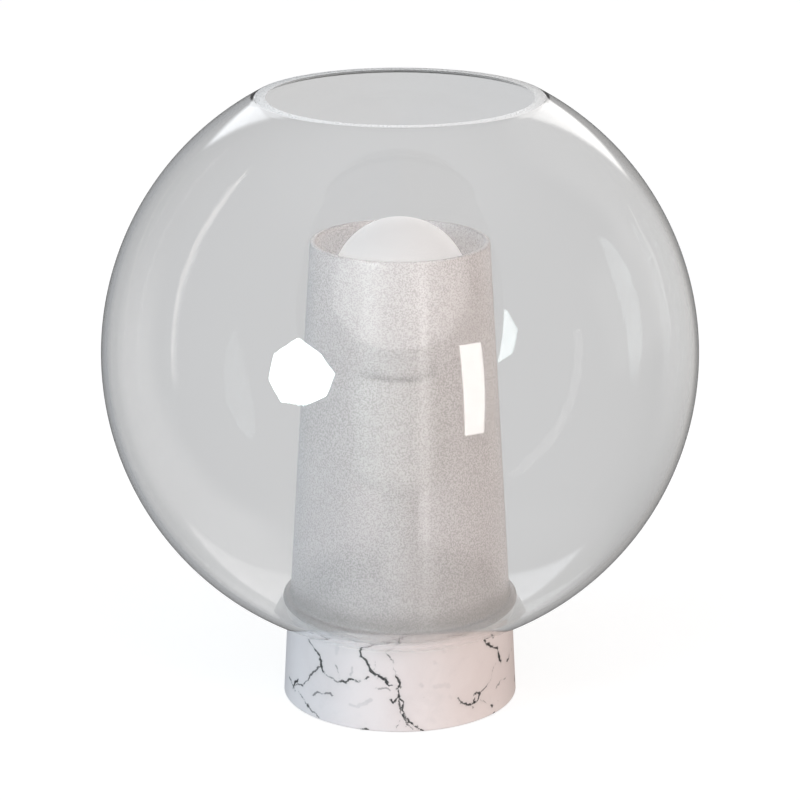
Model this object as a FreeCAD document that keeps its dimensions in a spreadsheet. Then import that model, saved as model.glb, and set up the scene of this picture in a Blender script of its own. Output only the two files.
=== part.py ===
import FreeCAD, Part
import math
import os
import sys
import Sketcher

# Glass globe table lamp: a clear blown sphere with a ground mouth, standing on a
# small white stone drum, with a frosted cone inside it around one globe lamp bulb.
# Frame: millimetres, +Z up, origin on the standing surface under the sphere's
# middle. The front looks towards -Y and the cable outlet faces +Y.

V = FreeCAD.Vector
doc = FreeCAD.newDocument("globe_table_lamp")

# ---------------------------------------------------------------- dimensions
SIZES = [
    # sphere
    ("globe_radius", 125.0), ("globe_wall", 2.3), ("globe_centre_z", 151.2),
    ("mouth_height", 109.7), ("foot_depth", 114.6),
    # stone drum
    ("drum_foot_radius", 50.1), ("drum_top_radius", 48.3), ("drum_bottom_z", 0.5),
    ("drum_top_z", 35.9), ("drum_arris", 0.5),
    ("spigot_radius", 43.5), ("spigot_top_z", 38.9),
    ("pad_recess_radius", 46.5), ("pad_recess_z", 2.5),
    ("cover_recess_radius", 41.0), ("cover_recess_z", 4.0),
    ("cavity_radius", 31.0), ("cavity_top_z", 24.0),
    ("stem_bore_radius", 5.5),
    ("outlet_z", 14.0), ("outlet_bore_radius", 4.2),
    ("outlet_face_radius", 6.3), ("outlet_face_y", 47.8),
    ("insert_circle_radius", 36.0), ("insert_radius", 2.9), ("insert_bore_radius", 1.6),
    ("insert_length", 7.0),
    # foot pad, cover and its screws
    ("pad_radius", 46.1), ("pad_thickness", 2.4),
    ("cover_radius", 40.6), ("cover_thickness", 1.5),
    ("screw_radius", 1.5), ("screw_head_radius", 2.7), ("screw_length", 8.0),
    # cable outlet bush
    ("bush_bore_radius", 3.2), ("bush_radius", 4.0), ("bush_flange_radius", 6.0),
    ("bush_flange_thickness", 1.7), ("bush_inner_y", 29.5),
    # soft rings that keep the glass off stone and steel
    ("gasket_inner_radius", 43.9), ("gasket_outer_radius", 48.1), ("gasket_thickness", 0.7),
    ("ring_inner_radius", 44.6), ("ring_outer_radius", 47.6), ("ring_gap", 0.1),
    ("seat_inner_radius", 45.0), ("seat_outer_radius", 48.2), ("seat_thickness", 0.4),
    # plate that holds the sphere down and carries the cone
    ("plate_radius", 48.6), ("plate_thickness", 1.0), ("plate_bore_radius", 5.3),
    ("upstand_radius", 43.9), ("upstand_wall", 1.0), ("upstand_height", 5.6),
    # frosted cone
    ("cone_foot_radius", 47.2), ("cone_top_radius", 37.45), ("cone_wall", 2.5),
    ("cone_top_z", 200.2), ("cone_arris", 0.4),
    ("flange_radius", 50.6), ("flange_thickness", 3.7), ("flange_edge", 1.3), ("flange_blend", 1.2),
    # threaded tube and what it clamps
    ("nipple_radius", 5.0), ("nipple_bore_radius", 4.0), ("nipple_bottom_z", 13.0),
    ("nipple_top_z", 98.3), ("nut_flats", 14.0), ("nut_thickness", 3.0),
    ("nut_bore_radius", 5.05), ("washer_radius", 13.0), ("washer_thickness", 1.5),
    ("stem_radius", 8.0), ("stem_inner_radius", 5.2), ("stem_flange_radius", 14.0),
    ("stem_flange_thickness", 2.0), ("stem_top_z", 93.0),
    # lampholder
    ("holder_radius", 20.5), ("holder_wall", 2.0), ("holder_joint_z", 112.0),
    ("holder_top_z", 143.5), ("holder_top_radius", 19.2), ("holder_bore_radius", 15.0),
    ("insert_disc_radius", 17.8), ("insert_disc_z", 104.0), ("insert_disc_thickness", 5.0),
    ("insert_boss_radius", 12.9), ("insert_boss_z", 115.5),
    ("shell_inner_radius", 13.45), ("shell_wall", 0.6), ("shell_top_z", 136.0),
    ("tongue_top_z", 117.8), ("tongue_width", 6.0), ("tongue_sheet", 0.5),
    ("terminal_x", 10.0), ("terminal_wide", 6.0), ("terminal_deep", 7.0),
    ("terminal_tall", 5.4), ("terminal_screw_radius", 1.45),
    # bulb
    ("bulb_radius", 28.6), ("bulb_wall", 1.0), ("bulb_centre_z", 180.9),
    ("bulb_mouth_z", 157.9), ("bulb_tip_z", 117.9), ("tip_radius", 4.6),
    ("tip_thickness", 1.5), ("cap_crest_radius", 13.1), ("cap_root_radius", 12.2),
    ("cap_wall", 0.5), ("cap_bottom_z", 123.0), ("cap_top_z", 144.4),
    ("thread_pitch", 3.629), ("thread_start_z", 124.2),
    ("collar_wall", 1.3), ("collar_top_radius", 17.0), ("board_radius", 15.0),
    ("board_thickness", 1.2), ("chip_circle_radius", 10.0),
]

sheet = doc.addObject("Spreadsheet::Sheet", "dims")
NUM = {}
for row, (alias, value) in enumerate(SIZES, start=1):
    sheet.set("A%d" % row, alias)
    sheet.set("B%d" % row, repr(value))
    sheet.setAlias("B%d" % row, alias)
    NUM[alias] = value
doc.recompute()


class Dim:
    """A length that carries both its number and the expression that gives it."""

    def __init__(self, value, text):
        self.v = float(value)
        self.e = text

    def __add__(self, other):
        o = as_dim(other)
        return Dim(self.v + o.v, "(%s + %s)" % (self.e, o.e))

    __radd__ = __add__

    def __sub__(self, other):
        o = as_dim(other)
        return Dim(self.v - o.v, "(%s - %s)" % (self.e, o.e))

    def __rsub__(self, other):
        return as_dim(other) - self

    def __mul__(self, other):
        o = as_dim(other)
        return Dim(self.v * o.v, "(%s * %s)" % (self.e, o.e))

    __rmul__ = __mul__

    def __truediv__(self, other):
        o = as_dim(other)
        return Dim(self.v / o.v, "(%s / %s)" % (self.e, o.e))


def as_dim(x):
    return x if isinstance(x, Dim) else Dim(x, repr(float(x)))


def sq(x):
    x = as_dim(x)
    return Dim(math.sqrt(x.v), "sqrt(%s)" % x.e)


class Sizes:
    def __getattr__(self, name):
        return Dim(NUM[name], "dims.%s" % name)


d = Sizes()

PARTS = []


def keep(obj, label):
    obj.Label = label
    PARTS.append(obj)
    return obj


def origin_plane(body, role):
    for f in body.Origin.OriginFeatures:
        if f.Role == role:
            return f
    raise RuntimeError("no plane " + role)


def new_body(label):
    body = doc.addObject("PartDesign::Body", label + "_body")
    keep(body, label)
    return body


def new_sketch(body, name, role="XZ_Plane"):
    sk = body.newObject("Sketcher::SketchObject", name)
    sk.AttachmentSupport = [(origin_plane(body, role), "")]
    sk.MapMode = "FlatFace"
    return sk


def fix(sk, kind, geo, pos, dim):
    """Hold one point of the sketch at a distance from its origin."""
    n = sk.addConstraint(Sketcher.Constraint(kind, -1, 1, geo, pos, dim.v))
    sk.setExpression("Constraints[%d]" % n, dim.e)


def polygon(sk, pts):
    pts = [(as_dim(a), as_dim(b)) for a, b in pts]
    n = len(pts)
    ids = []
    for i in range(n):
        a, b = pts[i], pts[(i + 1) % n]
        ids.append(sk.addGeometry(Part.LineSegment(V(a[0].v, a[1].v, 0), V(b[0].v, b[1].v, 0)), False))
    for i in range(n):
        sk.addConstraint(Sketcher.Constraint("Coincident", ids[i], 2, ids[(i + 1) % n], 1))
    for i in range(n):
        fix(sk, "DistanceX", ids[i], 1, pts[i][0])
        fix(sk, "DistanceY", ids[i], 1, pts[i][1])
    return ids


def revolve(body, sk, name):
    rev = body.newObject("PartDesign::Revolution", name)
    rev.Profile = sk
    rev.ReferenceAxis = (sk, ["V_Axis"])
    rev.Angle = 360.0
    sk.Visibility = False
    return rev


def turned(label, pts):
    """A piece turned about its own Z axis from a radius-height outline."""
    body = new_body(label)
    sk = new_sketch(body, label + "_outline")
    polygon(sk, pts)
    revolve(body, sk, label + "_turn")
    return body


# ---------------------------------------------------------------- levels
lip_z = d.globe_centre_z - d.foot_depth            # ground foot of the sphere
mouth_z = d.globe_centre_z + d.mouth_height        # ground mouth of the sphere
plate_top = d.spigot_top_z + d.plate_thickness
cone_foot_z = plate_top + d.seat_thickness


# ---------------------------------------------------------------- sphere
def sphere_shell(label, radius, wall, centre, z_low, z_high):
    """A spherical shell cut off flat below and, where asked, above."""
    body = new_body(label)
    sk = new_sketch(body, label + "_outline")
    c = V(0, centre.v, 0)
    inner = radius - wall

    def ang(r, z):
        s = (z.v - centre.v) / r.v
        return math.asin(max(-1.0, min(1.0, s)))
    top_o = math.pi / 2 if z_high is None else ang(radius, z_high)
    top_i = math.pi / 2 if z_high is None else ang(inner, z_high)
    lo_o, lo_i = ang(radius, z_low), ang(inner, z_low)

    def pt(r, a):
        return V(r.v * math.cos(a), centre.v + r.v * math.sin(a), 0)
    o = sk.addGeometry(Part.ArcOfCircle(Part.Circle(c, V(0, 0, 1), radius.v), lo_o, top_o), False)
    i = sk.addGeometry(Part.ArcOfCircle(Part.Circle(c, V(0, 0, 1), inner.v), lo_i, top_i), False)
    t = sk.addGeometry(Part.LineSegment(pt(radius, top_o), pt(inner, top_i)), False)
    b = sk.addGeometry(Part.LineSegment(pt(inner, lo_i), pt(radius, lo_o)), False)
    sk.addConstraint(Sketcher.Constraint("Coincident", o, 2, t, 1))
    sk.addConstraint(Sketcher.Constraint("Coincident", t, 2, i, 2))
    sk.addConstraint(Sketcher.Constraint("Coincident", i, 1, b, 1))
    sk.addConstraint(Sketcher.Constraint("Coincident", b, 2, o, 1))
    sk.addConstraint(Sketcher.Constraint("Coincident", o, 3, i, 3))
    sk.addConstraint(Sketcher.Constraint("PointOnObject", o, 3, -2))
    fix(sk, "DistanceY", o, 3, centre)
    n = sk.addConstraint(Sketcher.Constraint("Radius", o, radius.v))
    sk.setExpression("Constraints[%d]" % n, radius.e)
    n = sk.addConstraint(Sketcher.Constraint("Radius", i, inner.v))
    sk.setExpression("Constraints[%d]" % n, inner.e)
    fix(sk, "DistanceY", b, 1, z_low)
    fix(sk, "DistanceY", b, 2, z_low)
    if z_high is None:
        sk.addConstraint(Sketcher.Constraint("PointOnObject", t, 1, -2))
        sk.addConstraint(Sketcher.Constraint("PointOnObject", t, 2, -2))
    else:
        fix(sk, "DistanceY", t, 1, z_high)
        fix(sk, "DistanceY", t, 2, z_high)
    revolve(body, sk, label + "_turn")
    return body


sphere_shell("glass_globe", d.globe_radius, d.globe_wall, d.globe_centre_z, lip_z, mouth_z)

# ---------------------------------------------------------------- stone drum
drum = turned("stone_base", [
    (d.pad_recess_radius, d.drum_bottom_z),
    (d.drum_foot_radius - d.drum_arris, d.drum_bottom_z),
    (d.drum_foot_radius, d.drum_bottom_z + d.drum_arris),
    (d.drum_top_radius, d.drum_top_z - d.drum_arris),
    (d.drum_top_radius - d.drum_arris, d.drum_top_z),
    (d.spigot_radius, d.drum_top_z),
    (d.spigot_radius, d.spigot_top_z - d.drum_arris),
    (d.spigot_radius - d.drum_arris, d.spigot_top_z),
    (d.stem_bore_radius, d.spigot_top_z),
    (d.stem_bore_radius, d.cavity_top_z),
    (d.cavity_radius, d.cavity_top_z),
    (d.cavity_radius, d.cover_recess_z),
    (d.cover_recess_radius, d.cover_recess_z),
    (d.cover_recess_radius, d.pad_recess_z),
    (d.pad_recess_radius, d.pad_recess_z),
])
doc.recompute()


def circle(sk, cx, cy, r):
    cx, cy, r = as_dim(cx), as_dim(cy), as_dim(r)
    g = sk.addGeometry(Part.Circle(V(cx.v, cy.v, 0), V(0, 0, 1), r.v), False)
    n = sk.addConstraint(Sketcher.Constraint("Radius", g, r.v))
    sk.setExpression("Constraints[%d]" % n, r.e)
    if cx.v == 0:
        sk.addConstraint(Sketcher.Constraint("PointOnObject", g, 3, -2))
    else:
        fix(sk, "DistanceX", g, 3, cx)
    if cy.v == 0:
        sk.addConstraint(Sketcher.Constraint("PointOnObject", g, 3, -1))
    else:
        fix(sk, "DistanceY", g, 3, cy)
    return g


CUTS = []


def pocket(body, sk, name, depth, backwards, must_cut):
    before = body.Shape.Volume
    pk = body.newObject("PartDesign::Pocket", name)
    pk.Profile = sk
    pk.Reversed = backwards
    pk.setExpression("Length", as_dim(depth).e)
    pk.Length = as_dim(depth).v
    sk.Visibility = False
    doc.recompute()
    CUTS.append((name, before - body.Shape.Volume, must_cut))
    return pk


# cable hole through the back wall, then the flat face for the bush's flange
sk = new_sketch(drum, "outlet_hole")
circle(sk, 0, d.outlet_z, d.outlet_bore_radius)
pocket(drum, sk, "outlet_bore", d.drum_foot_radius + 5, False, 500)
if CUTS[-1][1] < 500 or drum.Shape.isInside(V(0, 44, 14), 0.01, True):
    raise RuntimeError("the cable hole runs to the front")
sk = new_sketch(drum, "outlet_face")
sk.AttachmentOffset = FreeCAD.Placement(V(0, 0, -NUM["outlet_face_y"]), FreeCAD.Rotation())
sk.setExpression("AttachmentOffset.Base.z", "-dims.outlet_face_y")
circle(sk, 0, d.outlet_z, d.outlet_face_radius)
pocket(drum, sk, "outlet_spotface", 6, False, 50)
if not 50 < CUTS[-1][1] < 250:
    raise RuntimeError("the flat for the bush's flange cuts the wrong way")

# three holes for the brass inserts, up from the ledge under the cover
sk = new_sketch(drum, "insert_hole", "XY_Plane")
sk.setExpression("AttachmentOffset.Base.z", "dims.cover_recess_z")
circle(sk, d.insert_circle_radius, 0, d.insert_radius)
pk = pocket(drum, sk, "insert_bore", d.insert_length + 0.5, True, 60)
doc.recompute()
pp = drum.newObject("PartDesign::PolarPattern", "insert_bores")
pp.Originals = [pk]
pp.Axis = (doc.getObject("insert_hole"), ["N_Axis"])
pp.Angle = 360.0
pp.Occurrences = 3
drum.Tip = pp
doc.recompute()

# ---------------------------------------------------------------- underside
turned("foot_pad", [(0, 0), (d.pad_radius - 0.4, 0), (d.pad_radius, 0.4),
                    (d.pad_radius, d.pad_thickness), (0, d.pad_thickness)])

cover = turned("bottom_cover", [(0, d.pad_recess_z), (d.cover_radius, d.pad_recess_z),
                                (d.cover_radius, d.pad_recess_z + d.cover_thickness),
                                (0, d.pad_recess_z + d.cover_thickness)])
doc.recompute()
# countersunk holes: a groove turned about each screw's own line
sk = new_sketch(cover, "screw_hole")
x0 = d.insert_circle_radius
hz0, hz1 = d.pad_recess_z - 0.2, d.pad_recess_z + d.cover_thickness + 0.2
polygon(sk, [(x0, hz0), (x0 + d.screw_head_radius + 0.25, hz0),
             (x0 + d.screw_head_radius + 0.15, d.pad_recess_z + 0.1),
             (x0 + d.screw_radius + 0.15, hz1 - 0.3), (x0 + d.screw_radius + 0.15, hz1), (x0, hz1)])
axis_line = sk.addGeometry(Part.LineSegment(V(x0.v, -5, 0), V(x0.v, 15, 0)), True)
fix(sk, "DistanceX", axis_line, 1, x0)
fix(sk, "DistanceX", axis_line, 2, x0)
before = cover.Shape.Volume
gr = cover.newObject("PartDesign::Groove", "screw_hole_cut")
gr.Profile = sk
gr.ReferenceAxis = (sk, ["Axis0"])
gr.Angle = 360.0
doc.recompute()
CUTS.append(("screw_hole_cut", before - cover.Shape.Volume, 5))
pp = cover.newObject("PartDesign::PolarPattern", "screw_holes")
pp.Originals = [gr]
pp.Axis = (origin_plane(cover, "Z_Axis"), "")
pp.Angle = 360.0
pp.Occurrences = 3
cover.Tip = pp
doc.recompute()


def three_of(label, pts):
    """One turned piece at the insert circle, and two copies round the Z axis."""
    body = new_body(label)
    body.AllowCompound = True
    sk = new_sketch(body, label + "_outline")
    polygon(sk, [(x0 + a, b) for a, b in pts])
    ax = sk.addGeometry(Part.LineSegment(V(x0.v, -5, 0), V(x0.v, 20, 0)), True)
    fix(sk, "DistanceX", ax, 1, x0)
    fix(sk, "DistanceX", ax, 2, x0)
    rev = body.newObject("PartDesign::Revolution", label + "_turn")
    rev.Profile = sk
    rev.ReferenceAxis = (sk, ["Axis0"])
    rev.Angle = 360.0
    doc.recompute()
    p = body.newObject("PartDesign::PolarPattern", label + "_ring")
    p.Originals = [rev]
    p.Axis = (origin_plane(body, "Z_Axis"), "")
    p.Angle = 360.0
    p.Occurrences = 3
    body.Tip = p
    doc.recompute()
    return body


seat = d.pad_recess_z
three_of("cover_screws", [
    (0, seat + 0.9), (1.0, seat + 0.9), (1.0, seat + 0.05),
    (d.screw_head_radius, seat + 0.05), (d.screw_head_radius, seat + 0.15),
    (d.screw_radius, seat + d.cover_thickness),
    (d.screw_radius, seat + d.screw_length - 0.5), (d.screw_radius - 0.5, seat + d.screw_length),
    (0, seat + d.screw_length)])
three_of("threaded_inserts", [
    (d.insert_bore_radius, d.cover_recess_z + 0.05), (d.insert_radius - 0.05, d.cover_recess_z + 0.05),
    (d.insert_radius - 0.05, d.cover_recess_z + 2.6), (d.insert_radius - 0.45, d.cover_recess_z + 3.0),
    (d.insert_radius - 0.45, d.cover_recess_z + 4.0), (d.insert_radius - 0.05, d.cover_recess_z + 4.4),
    (d.insert_radius - 0.05, d.cover_recess_z + d.insert_length),
    (d.insert_bore_radius, d.cover_recess_z + d.insert_length)])

# cable outlet bush, turned about Z and laid along +Y
bush_len = d.outlet_face_y + d.bush_flange_thickness - d.bush_inner_y
bush = turned("cable_outlet_bush", [
    (d.bush_bore_radius, 0), (d.bush_radius - 0.5, 0), (d.bush_radius, 0.6),
    (d.bush_radius, d.outlet_face_y - d.bush_inner_y),
    (d.bush_flange_radius, d.outlet_face_y - d.bush_inner_y),
    (d.bush_flange_radius, bush_len - 0.8), (d.bush_flange_radius - 0.8, bush_len),
    (d.bush_bore_radius, bush_len)])
bush.Placement = FreeCAD.Placement(V(0, NUM["bush_inner_y"], NUM["outlet_z"]),
                                   FreeCAD.Rotation(V(1, 0, 0), -90))
bush.setExpression("Placement.Base.y", "dims.bush_inner_y")
bush.setExpression("Placement.Base.z", "dims.outlet_z")

# ---------------------------------------------------------------- soft rings and plate
turned("globe_gasket", [(d.gasket_inner_radius, d.drum_top_z), (d.gasket_outer_radius, d.drum_top_z),
                        (d.gasket_outer_radius, d.drum_top_z + d.gasket_thickness),
                        (d.gasket_inner_radius, d.drum_top_z + d.gasket_thickness)])

inner_r = d.globe_radius - d.globe_wall


def bowl_z(r):
    """Height of the sphere's inner skin at a radius, low side."""
    return d.globe_centre_z - sq(inner_r * inner_r - r * r)


turned("globe_clamp_ring", [
    (d.ring_inner_radius, bowl_z(d.ring_inner_radius) + d.ring_gap),
    (d.ring_outer_radius, bowl_z(d.ring_outer_radius) + d.ring_gap),
    (d.ring_outer_radius, d.spigot_top_z), (d.ring_inner_radius, d.spigot_top_z)])

turned("retaining_plate", [
    (d.plate_bore_radius, d.spigot_top_z), (d.plate_radius - 0.4, d.spigot_top_z),
    (d.plate_radius, d.spigot_top_z + 0.4), (d.plate_radius, plate_top - 0.4),
    (d.plate_radius - 0.4, plate_top), (d.upstand_radius, plate_top),
    (d.upstand_radius, d.spigot_top_z + d.upstand_height),
    (d.upstand_radius - d.upstand_wall, d.spigot_top_z + d.upstand_height),
    (d.upstand_radius - d.upstand_wall, plate_top), (d.plate_bore_radius, plate_top)])

turned("diffuser_seat_ring", [(d.seat_inner_radius, plate_top), (d.seat_outer_radius, plate_top),
                              (d.seat_outer_radius, cone_foot_z), (d.seat_inner_radius, cone_foot_z)])

# ---------------------------------------------------------------- frosted cone
ft, fe, fb = d.flange_thickness, d.flange_edge, d.flange_blend
turned("frosted_diffuser", [
    (d.cone_foot_radius - d.cone_wall, cone_foot_z),
    (d.flange_radius - fe, cone_foot_z),
    (d.flange_radius, cone_foot_z + fe),
    (d.flange_radius, cone_foot_z + ft - fe),
    (d.flange_radius - fe, cone_foot_z + ft),
    (d.cone_foot_radius + fb, cone_foot_z + ft),
    (d.cone_foot_radius + fb * 0.3, cone_foot_z + ft + fb * 0.3),
    (d.cone_foot_radius, cone_foot_z + ft + fb),
    (d.cone_top_radius, d.cone_top_z - d.cone_arris),
    (d.cone_top_radius - d.cone_arris, d.cone_top_z),
    (d.cone_top_radius - d.cone_wall + d.cone_arris, d.cone_top_z),
    (d.cone_top_radius - d.cone_wall, d.cone_top_z - d.cone_arris),
    (d.cone_foot_radius - d.cone_wall, cone_foot_z + ft)])

# ---------------------------------------------------------------- threaded tube
turned("threaded_nipple", [
    (d.nipple_bore_radius, d.nipple_bottom_z), (d.nipple_radius - 0.5, d.nipple_bottom_z),
    (d.nipple_radius, d.nipple_bottom_z + 0.5), (d.nipple_radius, d.nipple_top_z - 0.5),
    (d.nipple_radius - 0.5, d.nipple_top_z), (d.nipple_bore_radius, d.nipple_top_z)])

washer_z = d.cavity_top_z - d.washer_thickness
turned("clamp_washer", [(d.stem_bore_radius, washer_z), (d.washer_radius, washer_z),
                        (d.washer_radius, d.cavity_top_z), (d.stem_bore_radius, d.cavity_top_z)])


def hex_nut(label, z_low):
    body = new_body(label)
    sk = new_sketch(body, label + "_hexagon", "XY_Plane")
    sk.AttachmentOffset = FreeCAD.Placement(V(0, 0, z_low.v), FreeCAD.Rotation())
    sk.setExpression("AttachmentOffset.Base.z", z_low.e)
    corner = d.nut_flats / 2 / math.cos(math.pi / 6)
    pts = []
    for k in range(6):
        a = math.radians(60 * k)
        pts.append((corner * math.cos(a), corner * math.sin(a)))
    polygon(sk, pts)
    circle(sk, 0, 0, d.nut_bore_radius)
    pad = body.newObject("PartDesign::Pad", label + "_pad")
    pad.Profile = sk
    pad.Length = NUM["nut_thickness"]
    pad.setExpression("Length", "dims.nut_thickness")
    sk.Visibility = False
    return body


hex_nut("lock_nut", washer_z - d.nut_thickness)
hex_nut("holder_nut", d.stem_top_z + 2.1)

turned("stem_tube", [
    (d.stem_inner_radius, plate_top), (d.stem_flange_radius - 0.5, plate_top),
    (d.stem_flange_radius, plate_top + 0.5), (d.stem_flange_radius, plate_top + d.stem_flange_thickness),
    (d.stem_radius, plate_top + d.stem_flange_thickness + 1.5),
    (d.stem_radius, d.stem_top_z), (d.stem_inner_radius, d.stem_top_z)])

# ---------------------------------------------------------------- lampholder
hr, hw, jz = d.holder_radius, d.holder_wall, d.holder_joint_z
turned("lampholder_cap", [
    (d.stem_inner_radius, d.stem_top_z), (hr - 6.5, d.stem_top_z), (hr - 2.4, d.stem_top_z + 3),
    (hr - 0.5, d.stem_top_z + 7), (hr, d.stem_top_z + 11), (hr, jz), (hr - hw, jz),
    (hr - hw, d.insert_disc_z), (hr - hw - 0.6, d.insert_disc_z - 0.2),
    (hr - hw - 1.6, d.stem_top_z + 6.4), (hr - hw - 4.4, d.stem_top_z + 2.9),
    (hr - hw - 7.0, d.stem_top_z + 2), (d.stem_inner_radius, d.stem_top_z + 2)])

disc_top = d.insert_disc_z + d.insert_disc_thickness
turned("lampholder_insert", [
    (1.6, d.insert_disc_z), (d.insert_disc_radius, d.insert_disc_z),
    (d.insert_disc_radius, disc_top), (d.insert_boss_radius, disc_top),
    (d.insert_boss_radius, d.insert_boss_z - 0.8), (d.insert_boss_radius - 0.8, d.insert_boss_z),
    (1.6, d.insert_boss_z)])

bead = 0.5
turned("lampholder_skirt", [
    (d.holder_bore_radius, disc_top + 0.1), (hr - hw - 0.3, disc_top + 0.1),
    (hr - hw - 0.3, jz + 0.1), (hr, jz + 0.1), (hr, jz + 12),
    (hr - bead, jz + 12.6), (hr - bead, jz + 13.6), (hr - 0.2, jz + 14.2),
    (d.holder_top_radius, d.holder_top_z - 1.0), (d.holder_top_radius - 1.0, d.holder_top_z),
    (d.holder_bore_radius + 0.8, d.holder_top_z), (d.holder_bore_radius, d.holder_top_z - 0.8)])

si = d.shell_inner_radius
turned("screw_shell_contact", [
    (si, disc_top), (si + d.shell_wall, disc_top), (si + d.shell_wall, d.shell_top_z),
    (si, d.shell_top_z)])

# spring tongue under the bulb's tip: foot, rise and flat top, bent from strip
body = new_body("centre_contact")
sk = new_sketch(body, "tongue_outline")
tz, t = d.insert_boss_z, d.tongue_sheet
polygon(sk, [
    (as_dim(-8), tz), (as_dim(-2), tz), (as_dim(3.5), d.tongue_top_z - t), (as_dim(6), d.tongue_top_z - t),
    (as_dim(6), d.tongue_top_z), (as_dim(3.2), d.tongue_top_z), (as_dim(-2.2), tz + t), (as_dim(-8), tz + t)])
pad = body.newObject("PartDesign::Pad", "tongue_pad")
pad.Profile = sk
pad.Midplane = True
pad.Length = NUM["tongue_width"]
pad.setExpression("Length", "dims.tongue_width")
sk.Visibility = False


# two terminal blocks with their screws, made from plain boxes and cylinders
def prim(kind, name, **sizes):
    o = doc.addObject(kind, name)
    for key, dim in sizes.items():
        dim = as_dim(dim)
        setattr(o, key, dim.v)
        o.setExpression(key, dim.e)
    return o


blocks, screws = [], []
block_z = d.insert_disc_z - d.terminal_tall
for side in (-1, 1):
    tag = "left" if side < 0 else "right"
    bx = d.terminal_x * side - d.terminal_wide / 2
    b = prim("Part::Box", "block_" + tag, Length=d.terminal_wide, Width=d.terminal_deep,
             Height=d.terminal_tall)
    b.Placement = FreeCAD.Placement(V(bx.v, -NUM["terminal_deep"] / 2, block_z.v), FreeCAD.Rotation())
    b.setExpression("Placement.Base.x", bx.e)
    b.setExpression("Placement.Base.y", "-dims.terminal_deep / 2")
    b.setExpression("Placement.Base.z", block_z.e)
    hz = block_z + d.terminal_tall / 2
    h = prim("Part::Cylinder", "block_hole_" + tag, Radius=d.terminal_screw_radius + 0.05,
             Height=d.terminal_deep * 2)
    h.Placement = FreeCAD.Placement(V(side * NUM["terminal_x"], NUM["terminal_deep"], hz.v),
                                    FreeCAD.Rotation(V(1, 0, 0), 90))
    cut = doc.addObject("Part::Cut", "block_cut_" + tag)
    cut.Base, cut.Tool = b, h
    blocks.append(cut)
    shank = prim("Part::Cylinder", "shank_" + tag, Radius=d.terminal_screw_radius,
                 Height=d.terminal_deep)
    shank.Placement = FreeCAD.Placement(V(side * NUM["terminal_x"], NUM["terminal_deep"] / 2, hz.v),
                                        FreeCAD.Rotation(V(1, 0, 0), 90))
    head = prim("Part::Cylinder", "head_" + tag, Radius=d.terminal_screw_radius + 0.75, Height=1.6)
    head.Placement = FreeCAD.Placement(V(side * NUM["terminal_x"], -NUM["terminal_deep"] / 2, hz.v),
                                       FreeCAD.Rotation(V(1, 0, 0), 90))
    whole = doc.addObject("Part::Fuse", "screw_" + tag)
    whole.Base, whole.Tool = shank, head
    slot = prim("Part::Box", "slot_" + tag, Length=6, Width=0.7, Height=0.6)
    slot.Placement = FreeCAD.Placement(V(side * NUM["terminal_x"] - 3, -NUM["terminal_deep"] / 2 - 1.7, hz.v - 0.3),
                                       FreeCAD.Rotation())
    done = doc.addObject("Part::Cut", "screw_slotted_" + tag)
    done.Base, done.Tool = whole, slot
    screws.append(done)
comp = doc.addObject("Part::Compound", "terminal_blocks_group")
comp.Links = blocks
keep(comp, "terminal_blocks")
comp = doc.addObject("Part::Compound", "terminal_screws_group")
comp.Links = screws
keep(comp, "terminal_screws")

# ---------------------------------------------------------------- bulb
sphere_shell("bulb_envelope", d.bulb_radius, d.bulb_wall, d.bulb_centre_z, d.bulb_mouth_z, None)

cw = d.collar_wall
turned("bulb_collar", [
    (d.cap_crest_radius + 0.3, d.cap_top_z), (d.cap_crest_radius + 1.2, d.cap_top_z + 1.5),
    (d.collar_top_radius - 1.0, d.bulb_mouth_z - 3), (d.collar_top_radius, d.bulb_mouth_z - 0.05),
    (d.board_radius + 0.3, d.bulb_mouth_z - 0.05), (d.board_radius + 0.3, d.bulb_mouth_z - 1.5),
    (d.board_radius - 1.0, d.bulb_mouth_z - 1.5), (d.board_radius - 1.0, d.bulb_mouth_z - 3),
    (d.cap_root_radius - 0.2, d.cap_top_z + 2.0), (d.cap_root_radius - 0.2, d.cap_top_z)])

# screw cap: rounded ring thread of the standard pitch outside, plain inside
cap_pts = [(d.cap_root_radius - d.cap_wall, d.cap_bottom_z), (d.cap_root_radius - 0.2, d.cap_bottom_z)]
for k in range(5):
    z = d.thread_start_z + d.thread_pitch * k
    cap_pts += [(d.cap_root_radius, z - 0.45), (d.cap_root_radius + 0.3, z + 0.4),
                (d.cap_crest_radius, z + 1.25), (d.cap_crest_radius, z + 1.85),
                (d.cap_root_radius + 0.3, z + 2.7)]
top_in = d.cap_root_radius - d.cap_wall
cap_pts += [(d.cap_root_radius + 0.2, d.cap_top_z - 1.6), (d.cap_crest_radius, d.cap_top_z - 1.0),
            (d.cap_crest_radius, d.cap_top_z - 0.05), (top_in, d.cap_top_z - 0.05)]
turned("bulb_screw_cap", cap_pts)

turned("bulb_insulator", [
    (0, d.bulb_tip_z + d.tip_thickness), (d.tip_radius + 0.6, d.bulb_tip_z + d.tip_thickness),
    (d.cap_root_radius - 1.2, d.cap_bottom_z - 0.6), (d.cap_root_radius - 0.7, d.cap_bottom_z - 0.05),
    (d.cap_root_radius - d.cap_wall - 0.05, d.cap_bottom_z - 0.05),
    (d.cap_root_radius - d.cap_wall - 0.05, d.cap_bottom_z + 2.5),
    (d.cap_root_radius - d.cap_wall - 1.5, d.cap_bottom_z + 2.5),
    (d.cap_root_radius - d.cap_wall - 1.5, d.cap_bottom_z + 0.5), (0, d.cap_bottom_z + 0.5)])

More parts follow.
